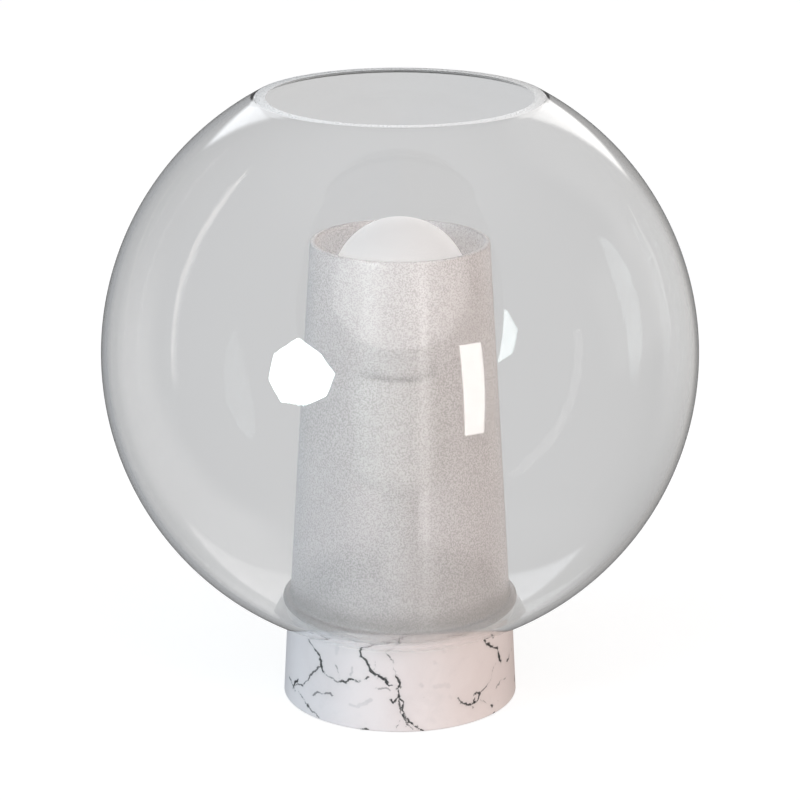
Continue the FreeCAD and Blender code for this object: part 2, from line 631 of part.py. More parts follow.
turned("bulb_contact_tip", [
    (0, d.bulb_tip_z), (d.tip_radius - 1.2, d.bulb_tip_z), (d.tip_radius, d.bulb_tip_z + 0.9),
    (d.tip_radius, d.bulb_tip_z + d.tip_thickness - 0.02), (0, d.bulb_tip_z + d.tip_thickness - 0.02)])

board_z = d.bulb_mouth_z - 1.4
turned("led_board", [
    (0, board_z), (d.board_radius, board_z), (d.board_radius, board_z + d.board_thickness),
    (0, board_z + d.board_thickness)])

body = new_body("led_chips")
body.AllowCompound = True
sk = new_sketch(body, "chip_outline", "XY_Plane")
cz = board_z + d.board_thickness
sk.AttachmentOffset = FreeCAD.Placement(V(0, 0, cz.v), FreeCAD.Rotation())
sk.setExpression("AttachmentOffset.Base.z", cz.e)
cr = d.chip_circle_radius
polygon(sk, [(cr - 1.4, as_dim(-1.4)), (cr + 1.4, as_dim(-1.4)), (cr + 1.4, as_dim(1.4)), (cr - 1.4, as_dim(1.4))])
pad = body.newObject("PartDesign::Pad", "chip_pad")
pad.Profile = sk
pad.Length = 0.7
sk.Visibility = False
doc.recompute()
pp = body.newObject("PartDesign::PolarPattern", "chip_ring")
pp.Originals = [pad]
pp.Axis = (origin_plane(body, "Z_Axis"), "")
pp.Angle = 360.0
pp.Occurrences = 10
body.Tip = pp

board = prim("Part::Box", "driver_board_box", Length=18, Width=1.2, Height=24)
board.Placement = FreeCAD.Placement(V(-9, -0.6, NUM["cap_bottom_z"] + 4), FreeCAD.Rotation())
board.setExpression("Placement.Base.z", "dims.cap_bottom_z + 4")
part_a = prim("Part::Cylinder", "driver_capacitor", Radius=3.0, Height=9)
part_a.Placement = FreeCAD.Placement(V(-3.5, 3.4, NUM["cap_bottom_z"] + 8), FreeCAD.Rotation())
part_b = prim("Part::Box", "driver_coil", Length=7, Width=4.5, Height=7)
part_b.Placement = FreeCAD.Placement(V(1, 0.6, NUM["cap_bottom_z"] + 14), FreeCAD.Rotation())
one = doc.addObject("Part::Fuse", "driver_board_a")
one.Base, one.Tool = board, part_b
two = doc.addObject("Part::Fuse", "driver_board_b")
two.Base, two.Tool = one, part_a
keep(two, "driver_board")

# ---------------------------------------------------------------- checks and files
doc.recompute()
bad = []
for o in doc.Objects:
    if any(s in ("Invalid", "Error") for s in o.State):
        bad.append("%s (%s): %s" % (o.Label, o.TypeId, o.State))
for name, volume, least in CUTS:
    print("cut %-18s %10.1f mm3" % (name, volume))
for o in PARTS:
    s = o.Shape
    if s.isNull() or not s.isValid() or not s.Solids:
        bad.append("%s: shape null, not valid or without a solid" % o.Label)
        continue
    bb = s.BoundBox
    print("%-20s solids %d vol %10.1f  x %.2f..%.2f y %.2f..%.2f z %.2f..%.2f" % (
        o.Label, len(s.Solids), s.Volume, bb.XMin, bb.XMax, bb.YMin, bb.YMax, bb.ZMin, bb.ZMax))
if len(set(o.Label for o in PARTS)) != len(PARTS):
    bad.append("two pieces share a label")
if bad:
    for line in bad:
        print("FAILED", line)
    sys.exit(1)

os.makedirs("parts", exist_ok=True)
for o in PARTS:
    o.Shape.exportStep("parts/%s.step" % o.Label)
print("wrote", len(PARTS), "pieces")
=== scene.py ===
import math
import random

import bpy
import bmesh
import numpy as np
from mathutils import Matrix, Vector


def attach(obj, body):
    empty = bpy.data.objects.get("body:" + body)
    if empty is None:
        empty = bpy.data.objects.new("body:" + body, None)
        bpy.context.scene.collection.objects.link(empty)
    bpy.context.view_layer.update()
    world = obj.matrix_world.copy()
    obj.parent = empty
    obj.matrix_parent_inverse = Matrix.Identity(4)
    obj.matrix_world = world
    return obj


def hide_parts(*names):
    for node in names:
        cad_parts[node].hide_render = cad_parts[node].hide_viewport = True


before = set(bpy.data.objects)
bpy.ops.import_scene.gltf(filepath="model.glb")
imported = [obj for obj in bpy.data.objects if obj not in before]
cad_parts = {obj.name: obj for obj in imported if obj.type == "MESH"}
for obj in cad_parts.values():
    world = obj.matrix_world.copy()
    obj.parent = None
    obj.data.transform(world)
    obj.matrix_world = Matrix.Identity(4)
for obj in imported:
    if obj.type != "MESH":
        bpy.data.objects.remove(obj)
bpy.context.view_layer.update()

MM = 0.001
scene = bpy.context.scene
scene.view_settings.view_transform = "Standard"
scene.view_settings.look = "None"
scene.view_settings.exposure = 0.0
scene.view_settings.gamma = 1.0
scene.cycles.max_bounces = 24
scene.cycles.transmission_bounces = 24
scene.cycles.glossy_bounces = 8
scene.cycles.transparent_max_bounces = 24
scene.cycles.sample_clamp_indirect = 6.0


# ------------------------------------------------------------------ camera
# The photograph's view: 1.335 m from the sphere's middle, a little above it.
cam_data = bpy.data.cameras.new("camera")
cam_data.lens = 143.075
cam_data.sensor_width = 36.0
cam_data.sensor_fit = "HORIZONTAL"
cam_data.clip_start = 0.05
cam_data.clip_end = 200.0
camera = bpy.data.objects.new("camera", cam_data)
camera.location = (0.0, -1.2802, 0.5289)
camera.rotation_euler = (math.radians(90.0 - 17.28), 0.0, 0.0)
scene.collection.objects.link(camera)
scene.camera = camera


# ------------------------------------------------------------------ node helpers
class Tree:
    """Short names for the shader nodes used below."""

    def __init__(self, tree, is_world=False):
        self.t = tree
        self.t.nodes.clear()
        self.is_world = is_world

    def node(self, kind, **props):
        n = self.t.nodes.new(kind)
        for key, value in props.items():
            setattr(n, key, value)
        return n

    def put(self, socket, value):
        if isinstance(value, bpy.types.NodeSocket):
            self.t.links.new(value, socket)
        elif value is not None:
            socket.default_value = value

    def math(self, op, a, b=None, c=None, clamp=False):
        n = self.node("ShaderNodeMath", operation=op, use_clamp=clamp)
        self.put(n.inputs[0], a)
        self.put(n.inputs[1], b)
        self.put(n.inputs[2], c)
        return n.outputs[0]

    def add(self, a, b):
        return self.math("ADD", a, b)

    def mul(self, a, b):
        return self.math("MULTIPLY", a, b)

    def step(self, v, lo, hi, a=0.0, b=1.0):
        n = self.node("ShaderNodeMapRange", interpolation_type="SMOOTHSTEP", clamp=True)
        self.put(n.inputs["Value"], v)
        self.put(n.inputs["From Min"], lo)
        self.put(n.inputs["From Max"], hi)
        self.put(n.inputs["To Min"], a)
        self.put(n.inputs["To Max"], b)
        return n.outputs["Result"]

    def band(self, v, a0, a1, b0, b1):
        return self.mul(self.step(v, a0, a1), self.step(v, b0, b1, 1.0, 0.0))

    def mix(self, fac, a, b, blend="MIX"):
        n = self.node("ShaderNodeMix", data_type="RGBA", blend_type=blend)
        self.put(n.inputs["Factor"], fac)
        for socket, value in ((n.inputs[6], a), (n.inputs[7], b)):
            if isinstance(value, (tuple, list)) and len(value) == 3:
                value = (*value, 1.0)
            self.put(socket, value)
        return n.outputs[2]

    def mixf(self, fac, a, b):
        n = self.node("ShaderNodeMix", data_type="FLOAT")
        self.put(n.inputs["Factor"], fac)
        self.put(n.inputs[2], a)
        self.put(n.inputs[3], b)
        return n.outputs[0]

    def coords(self):
        return self.node("ShaderNodeTexCoord").outputs["Object"]

    def scaled(self, vec, sx, sy, sz):
        n = self.node("ShaderNodeVectorMath", operation="MULTIPLY")
        self.put(n.inputs[0], vec)
        n.inputs[1].default_value = (sx, sy, sz)
        return n.outputs[0]

    def noise(self, vec, scale, detail=2.0, rough=0.5, distort=0.0, colour=False):
        n = self.node("ShaderNodeTexNoise")
        self.put(n.inputs["Vector"], vec)
        n.inputs["Scale"].default_value = scale
        n.inputs["Detail"].default_value = detail
        n.inputs["Roughness"].default_value = rough
        n.inputs["Distortion"].default_value = distort
        return n.outputs["Color" if colour else "Fac"]

    def cells(self, vec, scale, feature="F1"):
        n = self.node("ShaderNodeTexVoronoi", feature=feature)
        self.put(n.inputs["Vector"], vec)
        n.inputs["Scale"].default_value = scale
        return n.outputs["Distance"]

    def attribute(self, name):
        return self.node("ShaderNodeAttribute", attribute_name=name).outputs["Fac"]

    def xyz(self, vec):
        n = self.node("ShaderNodeSeparateXYZ")
        self.put(n.inputs[0], vec)
        return n.outputs[0], n.outputs[1], n.outputs[2]

    def bump(self, height, strength, distance, normal=None):
        n = self.node("ShaderNodeBump")
        n.inputs["Strength"].default_value = strength
        n.inputs["Distance"].default_value = distance
        self.put(n.inputs["Height"], height)
        if normal is not None:
            self.put(n.inputs["Normal"], normal)
        return n.outputs["Normal"]

    def principled(self, **values):
        n = self.node("ShaderNodeBsdfPrincipled")
        for key, value in values.items():
            socket = n.inputs[key.replace("_", " ")]
            if isinstance(value, (tuple, list)) and len(value) == 3 and socket.type == "RGBA":
                value = (*value, 1.0)
            self.put(socket, value)
        return n

    def finish(self, shader, volume=None):
        out = self.node("ShaderNodeOutputWorld" if self.is_world else "ShaderNodeOutputMaterial")
        self.t.links.new(shader, out.inputs["Surface"])
        if volume is not None:
            self.t.links.new(volume, out.inputs["Volume"])


def material(name):
    m = bpy.data.materials.new(name)
    m.use_nodes = True
    return m, Tree(m.node_tree)


# ------------------------------------------------------------------ materials
def let_light_through(t, shader, tint, diffuse_too):
    """The glass shades lamps only a little: shadow rays pass with a tint."""
    path = t.node("ShaderNodeLightPath")
    clear = t.node("ShaderNodeBsdfTransparent")
    clear.inputs["Color"].default_value = (*tint, 1.0)
    fac = path.outputs["Is Shadow Ray"]
    if diffuse_too:
        fac = t.math("MAXIMUM", fac, path.outputs["Is Diffuse Ray"])
    m = t.node("ShaderNodeMixShader")
    t.put(m.inputs[0], fac)
    t.put(m.inputs[1], shader)
    t.put(m.inputs[2], clear.outputs[0])
    return m.outputs[0]


def make_clear_glass():
    m, t = material("clear_glass")
    p = t.coords()
    # very slow waviness of blown glass
    wave = t.noise(t.scaled(p, 1.0, 1.0, 0.6), 14.0, 1.0, 0.4)
    normal = t.bump(wave, 0.02, 0.0006)
    s = t.principled(Base_Color=(1.0, 1.0, 1.0), Roughness=0.0, IOR=1.5,
                     Transmission_Weight=1.0, Normal=normal)
    vol = t.node("ShaderNodeVolumeAbsorption")
    vol.inputs["Color"].default_value = (0.10, 0.14, 0.13, 1.0)
    vol.inputs["Density"].default_value = 7.0
    t.finish(let_light_through(t, s.outputs[0], (0.93, 0.94, 0.935), True), vol.outputs[0])
    return m


def make_ground_edge():
    """The mouth's rim, ground flat and lightly polished."""
    m, t = material("ground_edge")
    p = t.coords()
    scratch = t.noise(t.scaled(p, 1.0, 1.0, 0.2), 1300.0, 2.0, 0.6)
    colour = t.mix(t.step(scratch, 0.3, 0.7), (0.80, 0.81, 0.81), (0.94, 0.95, 0.95))
    s = t.principled(Base_Color=colour, Roughness=t.step(scratch, 0.3, 0.7, 0.24, 0.40), IOR=1.5,
                     Transmission_Weight=0.45, Normal=t.bump(scratch, 0.12, 0.0001))
    t.finish(let_light_through(t, s.outputs[0], (0.8, 0.8, 0.8), False))
    return m


def make_frosted_glass():
    m, t = material("frosted_glass")
    p = t.coords()
    grain = t.noise(p, 1500.0, 1.0, 0.5)
    coarse = t.noise(p, 520.0, 2.0, 0.6)
    cloud = t.noise(p, 38.0, 3.0, 0.5)
    _, _, z = t.xyz(p)
    low = t.step(z, 0.060, 0.125)                       # painted shade: the foot and the crease above the flange are a little darker
    # painted shade: the flange and the cone's foot up to 55 mm are darkened, most at the crease between them
    painted_crease_shade = t.mul(t.step(z, 0.055, 0.0455), t.step(z, 0.040, 0.0435, 0.75, 1.0))
    spark = t.step(grain, 0.34, 0.64, 0.76, 1.11)
    mottled = t.mul(spark, t.step(coarse, 0.3, 0.7, 0.985, 1.015))
    mottled = t.mul(mottled, t.step(cloud, 0.2, 0.8, 0.985, 1.015))
    base = t.mix(low, (0.980, 0.930, 0.925), (0.975, 0.928, 0.918))
    base = t.mix(painted_crease_shade, base, (0.72, 0.68, 0.665))
    vm = t.node("ShaderNodeVectorMath", operation="SCALE")
    t.put(vm.inputs[0], base)
    t.put(vm.inputs["Scale"], mottled)
    rough = t.step(coarse, 0.25, 0.75, 0.10, 0.14)
    normal = t.bump(t.add(t.mul(grain, 0.9), t.mul(coarse, 0.1)), 0.22, 0.0003)
    s = t.principled(Base_Color=vm.outputs[0], Roughness=rough, IOR=1.38, Specular_IOR_Level=0.0,
                     Transmission_Weight=0.67, Normal=normal)
    t.finish(let_light_through(t, s.outputs[0], (0.40, 0.395, 0.39), False))
    return m


def make_opal():
    m, t = material("opal")
    p = t.coords()
    fine = t.noise(p, 1750.0, 1.0, 0.5)
    cloud = t.noise(p, 70.0, 2.0, 0.5)
    colour = t.mix(t.mul(t.step(cloud, 0.3, 0.7), 0.5), (0.27, 0.263, 0.260), (0.30, 0.294, 0.289))
    grain = t.step(fine, 0.32, 0.66, 0.93, 1.04)
    vm = t.node("ShaderNodeVectorMath", operation="SCALE")
    t.put(vm.inputs[0], colour)
    t.put(vm.inputs["Scale"], grain)
    rough = t.step(fine, 0.3, 0.7, 0.40, 0.55)
    s = t.principled(Base_Color=vm.outputs[0], Roughness=rough, IOR=1.5,
                     Subsurface_Weight=0.35, Subsurface_Radius=(0.006, 0.006, 0.006), Subsurface_Scale=1.0,
                     Emission_Color=(1.0, 0.968, 0.962), Emission_Strength=0.50,
                     Normal=t.bump(fine, 0.05, 0.0002))
    t.finish(s.outputs[0])
    return m


def make_stone():
    m, t = material("stone")
    p = t.coords()
    reach = t.attribute("reach")             # mm from the nearest vein's edge, below 0 inside it
    depth = t.attribute("depth")             # how dark that vein is
    faint = t.attribute("faint")
    # slow grey clouds and soft flecks of polished white marble
    cloud = t.noise(p, 34.0, 5.0, 0.55, 0.6)
    cloud2 = t.noise(p, 120.0, 4.0, 0.6, 0.3)
    grain = t.noise(p, 2200.0, 1.0, 0.5)
    ragged = t.noise(p, 1500.0, 3.0, 0.7)
    ragged2 = t.noise(p, 330.0, 3.0, 0.65)
    base = t.mix(t.step(cloud, 0.30, 0.72), (0.875, 0.815, 0.80), (0.82, 0.755, 0.74))
    base = t.mix(t.mul(t.step(cloud2, 0.52, 0.78), 0.32), base, (0.71, 0.675, 0.665))
    base = t.mix(t.mul(t.step(grain, 0.5, 0.8), 0.16), base, (0.93, 0.90, 0.88))
    near = t.mul(t.math("POWER", 2.718, t.mul(t.math("MAXIMUM", reach, 0.0), -1.4)), depth)
    base = t.mix(t.mul(near, 0.26), base, (0.47, 0.45, 0.445))
    base = t.mix(t.mul(t.step(t.mul(faint, t.add(0.55, ragged2)), 0.05, 0.9), 0.55), base, (0.47, 0.45, 0.45))
    # broken edge: the line's border moves in and out with two noises
    edge = t.add(reach, t.mul(t.add(ragged, -0.5), 0.75))
    edge = t.add(edge, t.mul(t.add(ragged2, -0.5), 0.95))
    mask = t.step(edge, 0.10, -0.14)
    tone = t.mix(t.step(ragged, 0.36, 0.64), (0.020, 0.022, 0.026), (0.095, 0.092, 0.084))
    base = t.mix(t.mul(mask, t.step(depth, 0.05, 0.80, 0.30, 1.0)), base, tone)
    blot = t.mul(t.step(near, 0.30, 0.75), t.step(t.noise(p, 620.0, 2.0, 0.6), 0.55, 0.64))
    base = t.mix(t.mul(blot, 0.72), base, (0.10, 0.10, 0.095))
    # scattered dark specks of the same mineral
    speck = t.mul(t.step(t.cells(p, 210.0), 0.075, 0.045), t.step(t.noise(p, 70.0, 2.0, 0.5), 0.55, 0.66))
    base = t.mix(t.mul(speck, 0.75), base, (0.09, 0.085, 0.08))
    rough = t.mixf(mask, t.step(cloud2, 0.2, 0.8, 0.36, 0.46), 0.50)
    pits = t.add(t.mul(mask, -0.6), t.mul(grain, 0.05))
    s = t.principled(Base_Color=base, Roughness=rough, IOR=1.5, Specular_IOR_Level=0.35,
                     Subsurface_Weight=0.12, Subsurface_Radius=(0.004, 0.004, 0.004), Subsurface_Scale=1.0,
                     Normal=t.bump(pits, 0.25, 0.00025))
    t.finish(s.outputs[0])
    return m


def make_plain(name, dark, light, rough_lo, rough_hi, scale, bump, metallic=0.0, stretch=None,
               ior=1.5, coat=0.0, sub=0.0):
    """Painted, moulded or machined surface: its tone, gloss and texture vary."""
    m, t = material(name)
    p = t.coords()
    q = p if stretch is None else t.scaled(p, *stretch)
    fine = t.noise(q, scale, 3.0, 0.55)
    slow = t.noise(p, 60.0, 3.0, 0.5)
    both = t.add(t.mul(fine, 0.6), t.mul(slow, 0.4))
    colour = t.mix(t.step(both, 0.35, 0.65), dark, light)
    rough = t.step(both, 0.3, 0.7, rough_lo, rough_hi)
    values = dict(Base_Color=colour, Roughness=rough, IOR=ior, Metallic=metallic,
                  Normal=t.bump(fine, bump, 0.0002))
    if coat:
        values.update(Coat_Weight=coat, Coat_Roughness=0.12)
    if sub:
        values.update(Subsurface_Weight=sub, Subsurface_Radius=(0.003, 0.003, 0.003), Subsurface_Scale=1.0)
    t.finish(t.principled(**values).outputs[0])
    return m


def make_silicone():
    m, t = material("silicone")
    p = t.coords()
    cloud = t.noise(p, 300.0, 3.0, 0.5)
    colour = t.mix(t.step(cloud, 0.3, 0.7), (0.80, 0.785, 0.78), (0.88, 0.87, 0.865))
    s = t.principled(Base_Color=colour, Roughness=t.step(cloud, 0.3, 0.7, 0.30, 0.42), IOR=1.41,
                     Subsurface_Weight=0.25, Subsurface_Radius=(0.002, 0.002, 0.002), Subsurface_Scale=1.0,
                     Normal=t.bump(cloud, 0.1, 0.0002))
    t.finish(s.outputs[0])
    return m


def make_foam():
    m, t = material("pad")
    p = t.coords()
    cell = t.cells(p, 1100.0)
    slow = t.noise(p, 90.0, 2.0, 0.5)
    colour = t.mix(t.step(cell, 0.1, 0.6), (0.012, 0.012, 0.013), (0.05, 0.05, 0.052))
    colour = t.mix(t.mul(t.step(slow, 0.3, 0.7), 0.4), colour, (0.075, 0.075, 0.078))
    s = t.principled(Base_Color=colour, Roughness=t.step(slow, 0.3, 0.7, 0.78, 0.92),
                     Normal=t.bump(cell, 0.7, 0.0004))
    t.finish(s.outputs[0])
    return m


def make_board(name, mask_dark, mask_light, copper):
    """A circuit board: solder mask over square runs of copper."""
    m, t = material(name)
    p = t.coords()
    n = t.node("ShaderNodeTexBrick")
    t.put(n.inputs["Vector"], t.scaled(p, 1.0, 1.0, 1.0))
    n.inputs["Scale"].default_value = 260.0
    n.inputs["Mortar Size"].default_value = 0.035
    n.inputs["Color1"].default_value = (0, 0, 0, 1)
    n.inputs["Color2"].default_value = (0.25, 0.25, 0.25, 1)
    n.inputs["Mortar"].default_value = (1, 1, 1, 1)
    weave = t.noise(p, 1500.0, 2.0, 0.5)
    mask = t.mix(t.step(weave, 0.3, 0.7), mask_dark, mask_light)
    colour = t.mix(t.mul(n.outputs["Color"], 0.45), mask, copper)
    s = t.principled(Base_Color=colour, Roughness=t.step(weave, 0.3, 0.7, 0.30, 0.42),
                     Normal=t.bump(n.outputs["Fac"], 0.25, 0.0001))
    t.finish(s.outputs[0])
    return m


MAT = {
    "clear_glass": make_clear_glass(),
    "frosted_glass": make_frosted_glass(),
    "opal": make_opal(),
    "stone": make_stone(),
    "plate_paint": make_plain("plate_paint", (0.50, 0.49, 0.48), (0.58, 0.57, 0.56), 0.38, 0.50, 1400.0, 0.12),
    "steel": make_plain("steel", (0.50, 0.50, 0.51), (0.66, 0.66, 0.665), 0.24, 0.40, 900.0, 0.10,
                        metallic=1.0, stretch=(1.0, 1.0, 0.08)),
    "silicone": make_silicone(),
    "pad": make_foam(),
    "white_plastic": make_plain("white_plastic", (0.60, 0.59, 0.575), (0.68, 0.67, 0.655), 0.38, 0.50, 1700.0, 0.10, sub=0.08),
    "grey_plastic": make_plain("grey_plastic", (0.56, 0.555, 0.55), (0.63, 0.625, 0.62), 0.38, 0.50, 1700.0, 0.10),
    "ceramic": make_plain("ceramic", (0.80, 0.79, 0.76), (0.88, 0.87, 0.84), 0.18, 0.30, 700.0, 0.08, coat=0.4),
    "black_plastic": make_plain("black_plastic", (0.012, 0.012, 0.012), (0.032, 0.032, 0.032), 0.30, 0.44, 1500.0, 0.10),
    "brass": make_plain("brass", (0.56, 0.38, 0.15), (0.72, 0.52, 0.24), 0.22, 0.36, 800.0, 0.08,
                        metallic=1.0, stretch=(1.0, 1.0, 0.1)),
    "nickel": make_plain("nickel", (0.60, 0.585, 0.55), (0.74, 0.725, 0.69), 0.18, 0.32, 900.0, 0.07,
                         metallic=1.0, stretch=(1.0, 1.0, 0.15)),
    "board_white": make_board("board_white", (0.78, 0.78, 0.77), (0.86, 0.86, 0.85), (0.62, 0.60, 0.55)),
    "board_green": make_board("board_green", (0.010, 0.085, 0.030), (0.018, 0.135, 0.050), (0.045, 0.22, 0.09)),
}


# ------------------------------------------------------------------ mesh helpers
def rounded(points, n=5):
    """Outline from (r, z[, fillet]) corners, with an arc of n steps where a fillet is given."""
    out = []
    count = len(points)
    for i, p in enumerate(points):
        if len(p) < 3 or p[2] <= 0:
            out.append((p[0], p[1]))
            continue
        a = np.array(points[i - 1][:2], float)
        b = np.array(p[:2], float)
        c = np.array(points[(i + 1) % count][:2], float)
        u, v = a - b, c - b
        lu, lv = np.linalg.norm(u), np.linalg.norm(v)
        u, v = u / lu, v / lv
        half = math.acos(max(-1.0, min(1.0, float(u @ v)))) / 2
        cut = min(p[2] / math.tan(half), 0.49 * lu, 0.49 * lv)
        rad = cut * math.tan(half)
        mid = (u + v) / np.linalg.norm(u + v)
        centre = b + mid * rad / math.sin(half)
        s, e = b + u * cut, b + v * cut
        a0 = math.atan2(*(s - centre)[::-1])
        a1 = math.atan2(*(e - centre)[::-1])
        while a1 - a0 > math.pi:
            a1 -= 2 * math.pi
        while a1 - a0 < -math.pi:
            a1 += 2 * math.pi
        for k in range(n + 1):
            a_k = a0 + (a1 - a0) * k / n
            out.append((float(centre[0] + rad * math.cos(a_k)), float(centre[1] + rad * math.sin(a_k))))
    return out


def split(points, longest):
    """The same outline with no run longer than the given length."""
    out = []
    for i, a in enumerate(points):
        b = points[(i + 1) % len(points)]
        n = max(1, int(math.ceil(math.hypot(b[0] - a[0], b[1] - a[1]) / longest)))
        if a[0] <= 0 and b[0] <= 0:
            n = 1
        for k in range(n):
            out.append((a[0] + (b[0] - a[0]) * k / n, a[1] + (b[1] - a[1]) * k / n))
    return out


def turned(name, outline, seg, sharp=28.0, warp=None):
    """A closed turned mesh from a closed outline of (radius, height), in mm."""
    rings, verts = [], []
    for r, z in outline:
        if r <= 1e-6:
            rings.append([len(verts)] * seg)
            verts.append((0.0, 0.0, z * MM))
        else:
            start = len(verts)
            for k in range(seg):
                a = 2 * math.pi * k / seg
                rr, zz = (r, z) if warp is None else warp(r, z, a)
                verts.append((rr * math.sin(a) * MM, -rr * math.cos(a) * MM, zz * MM))
            rings.append(list(range(start, start + seg)))
    faces = []
    n = len(outline)
    for i in range(n):
        p, q = rings[i], rings[(i + 1) % n]
        pole_p, pole_q = outline[i][0] <= 1e-6, outline[(i + 1) % n][0] <= 1e-6
        if pole_p and pole_q:
            continue
        for k in range(seg):
            j = (k + 1) % seg
            if pole_p:
                faces.append((p[0], q[j], q[k]))
            elif pole_q:
                faces.append((p[k], p[j], q[0]))
            else:
                faces.append((p[k], p[j], q[j], q[k]))
    mesh = bpy.data.meshes.new(name)
    mesh.from_pydata(verts, [], faces)
    mesh.update()
    bm = bmesh.new()
    bm.from_mesh(mesh)
    bmesh.ops.recalc_face_normals(bm, faces=bm.faces)
    volume = bm.calc_volume(signed=True)
    if volume < 0:
        bmesh.ops.reverse_faces(bm, faces=bm.faces)
    # an edge is sharp where the outline turns by more than the given angle
    limit = math.radians(sharp)
    for e in bm.edges:
        if len(e.link_faces) == 2 and e.calc_face_angle(0.0) > limit:
            e.smooth = False
    for f in bm.faces:
        f.smooth = True
    bm.to_mesh(mesh)
    bm.free()
    obj = bpy.data.objects.new(name, mesh)
    scene.collection.objects.link(obj)
    return obj


def dress(obj, slot, body, *nodes):
    obj.data.materials.clear()
    obj.data.materials.append(MAT[slot])
    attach(obj, body)
    if nodes:
        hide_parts(*nodes)
    return obj


# ------------------------------------------------------------------ sphere
CZ, R, WALL = 151.2, 125.0, 2.3
RI = R - WALL
LIP_Z, MOUTH_Z = 36.6, 260.9


def arc(radius, z0, z1, n):
    a0 = math.asin((z0 - CZ) / radius)
    a1 = math.asin((z1 - CZ) / radius)
    return [(radius * math.cos(a0 + (a1 - a0) * k / n), CZ + radius * math.sin(a0 + (a1 - a0) * k / n))
            for k in range(n + 1)]


outer = arc(R, LIP_Z + 0.25, MOUTH_Z - 0.25, 120)
inner = arc(RI, MOUTH_Z - 0.25, LIP_Z + 0.25, 120)
ro_top = math.sqrt(R * R - (MOUTH_Z - CZ) ** 2) - 0.25
ri_top = math.sqrt(RI * RI - (MOUTH_Z - CZ) ** 2) + 0.25
ro_low = math.sqrt(R * R - (LIP_Z - CZ) ** 2) - 0.25
ri_low = math.sqrt(RI * RI - (LIP_Z - CZ) ** 2) + 0.25
globe_outline = outer + [(ro_top, MOUTH_Z), (ri_top, MOUTH_Z)] + inner + [(ri_low, LIP_Z), (ro_low, LIP_Z)]
globe = turned("blown_globe", globe_outline, 288, sharp=20.0)
dress(globe, "clear_glass", "lamp_body", "glass_globe")
globe.data.materials.append(make_ground_edge())
for face in globe.data.polygons:
    if min(globe.data.vertices[v].co.z for v in face.vertices) > (MOUTH_Z - 0.05) * MM:
        face.material_index = 1


# ------------------------------------------------------------------ frosted cone
cone = turned("satin_cone", split(rounded([
    (44.7, 40.3, 0.5), (50.6, 40.3, 1.7), (50.6, 44.0, 1.7), (47.27, 44.0, 1.2),
    (37.45, 200.2, 0.9), (34.95, 200.2, 0.9), (44.7, 44.0)], 6), 3.0), 256, sharp=40.0)
dress(cone, "frosted_glass", "diffuser", "frosted_diffuser")


# ------------------------------------------------------------------ stone drum
DRUM_SEG = 880
wall = [(50.1 - 0.5 + 0.5 * math.sin(math.pi / 2 * k / 4), 0.5 + 0.5 - 0.5 * math.cos(math.pi / 2 * k / 4)) for k in range(5)]
for k in range(1, 89):
    z = 1.0 + (35.4 - 1.0) * k / 88
    wall.append((50.1 - 1.8 * (z - 1.0) / 34.4, z))
top_r = 48.3
wall += [(top_r - 0.5 + 0.5 * math.cos(math.pi / 2 * k / 3), 35.4 + 0.5 * math.sin(math.pi / 2 * k / 3)) for k in range(1, 4)]
drum_outline = [(46.5, 0.5)] + wall + [
    (46.5, 35.9), (45.0, 35.9), (43.5, 35.9), (43.5, 37.2), (43.5, 38.4), (43.0, 38.9),
    (5.5, 38.9), (5.5, 24.0), (31.0, 24.0), (31.0, 4.0), (41.0, 4.0), (41.0, 2.5), (46.5, 2.5)]
drum = turned("marble_drum", drum_outline, DRUM_SEG, sharp=40.0)


def cylinder_along_y(name, radius, y0, y1, z, seg=64):
    bm = bmesh.new()
    bmesh.ops.create_cone(bm, cap_ends=True, segments=seg, radius1=radius * MM, radius2=radius * MM,
                          depth=(y1 - y0) * MM)
    bmesh.ops.rotate(bm, verts=bm.verts, cent=(0, 0, 0),
                     matrix=Matrix.Rotation(math.radians(-90), 3, "X"))
    bmesh.ops.translate(bm, verts=bm.verts, vec=(0, (y0 + y1) / 2 * MM, z * MM))
    mesh = bpy.data.meshes.new(name)
    bm.to_mesh(mesh)
    bm.free()
    obj = bpy.data.objects.new(name, mesh)
    scene.collection.objects.link(obj)
    return obj


def cut_out(obj, tool):
    mod = obj.modifiers.new("cut", "BOOLEAN")
    mod.operation = "DIFFERENCE"
    mod.solver = "EXACT"
    mod.object = tool
    dg = bpy.context.evaluated_depsgraph_get()
    mesh = bpy.data.meshes.new_from_object(obj.evaluated_get(dg))
    obj.modifiers.clear()
    old = obj.data
    obj.data = mesh
    bpy.data.meshes.remove(old)
    bpy.data.objects.remove(tool)


cut_out(drum, cylinder_along_y("outlet_bore_tool", 4.2, 20.0, 60.0, 14.0))
cut_out(drum, cylinder_along_y("outlet_face_tool", 6.3, 47.8, 60.0, 14.0))
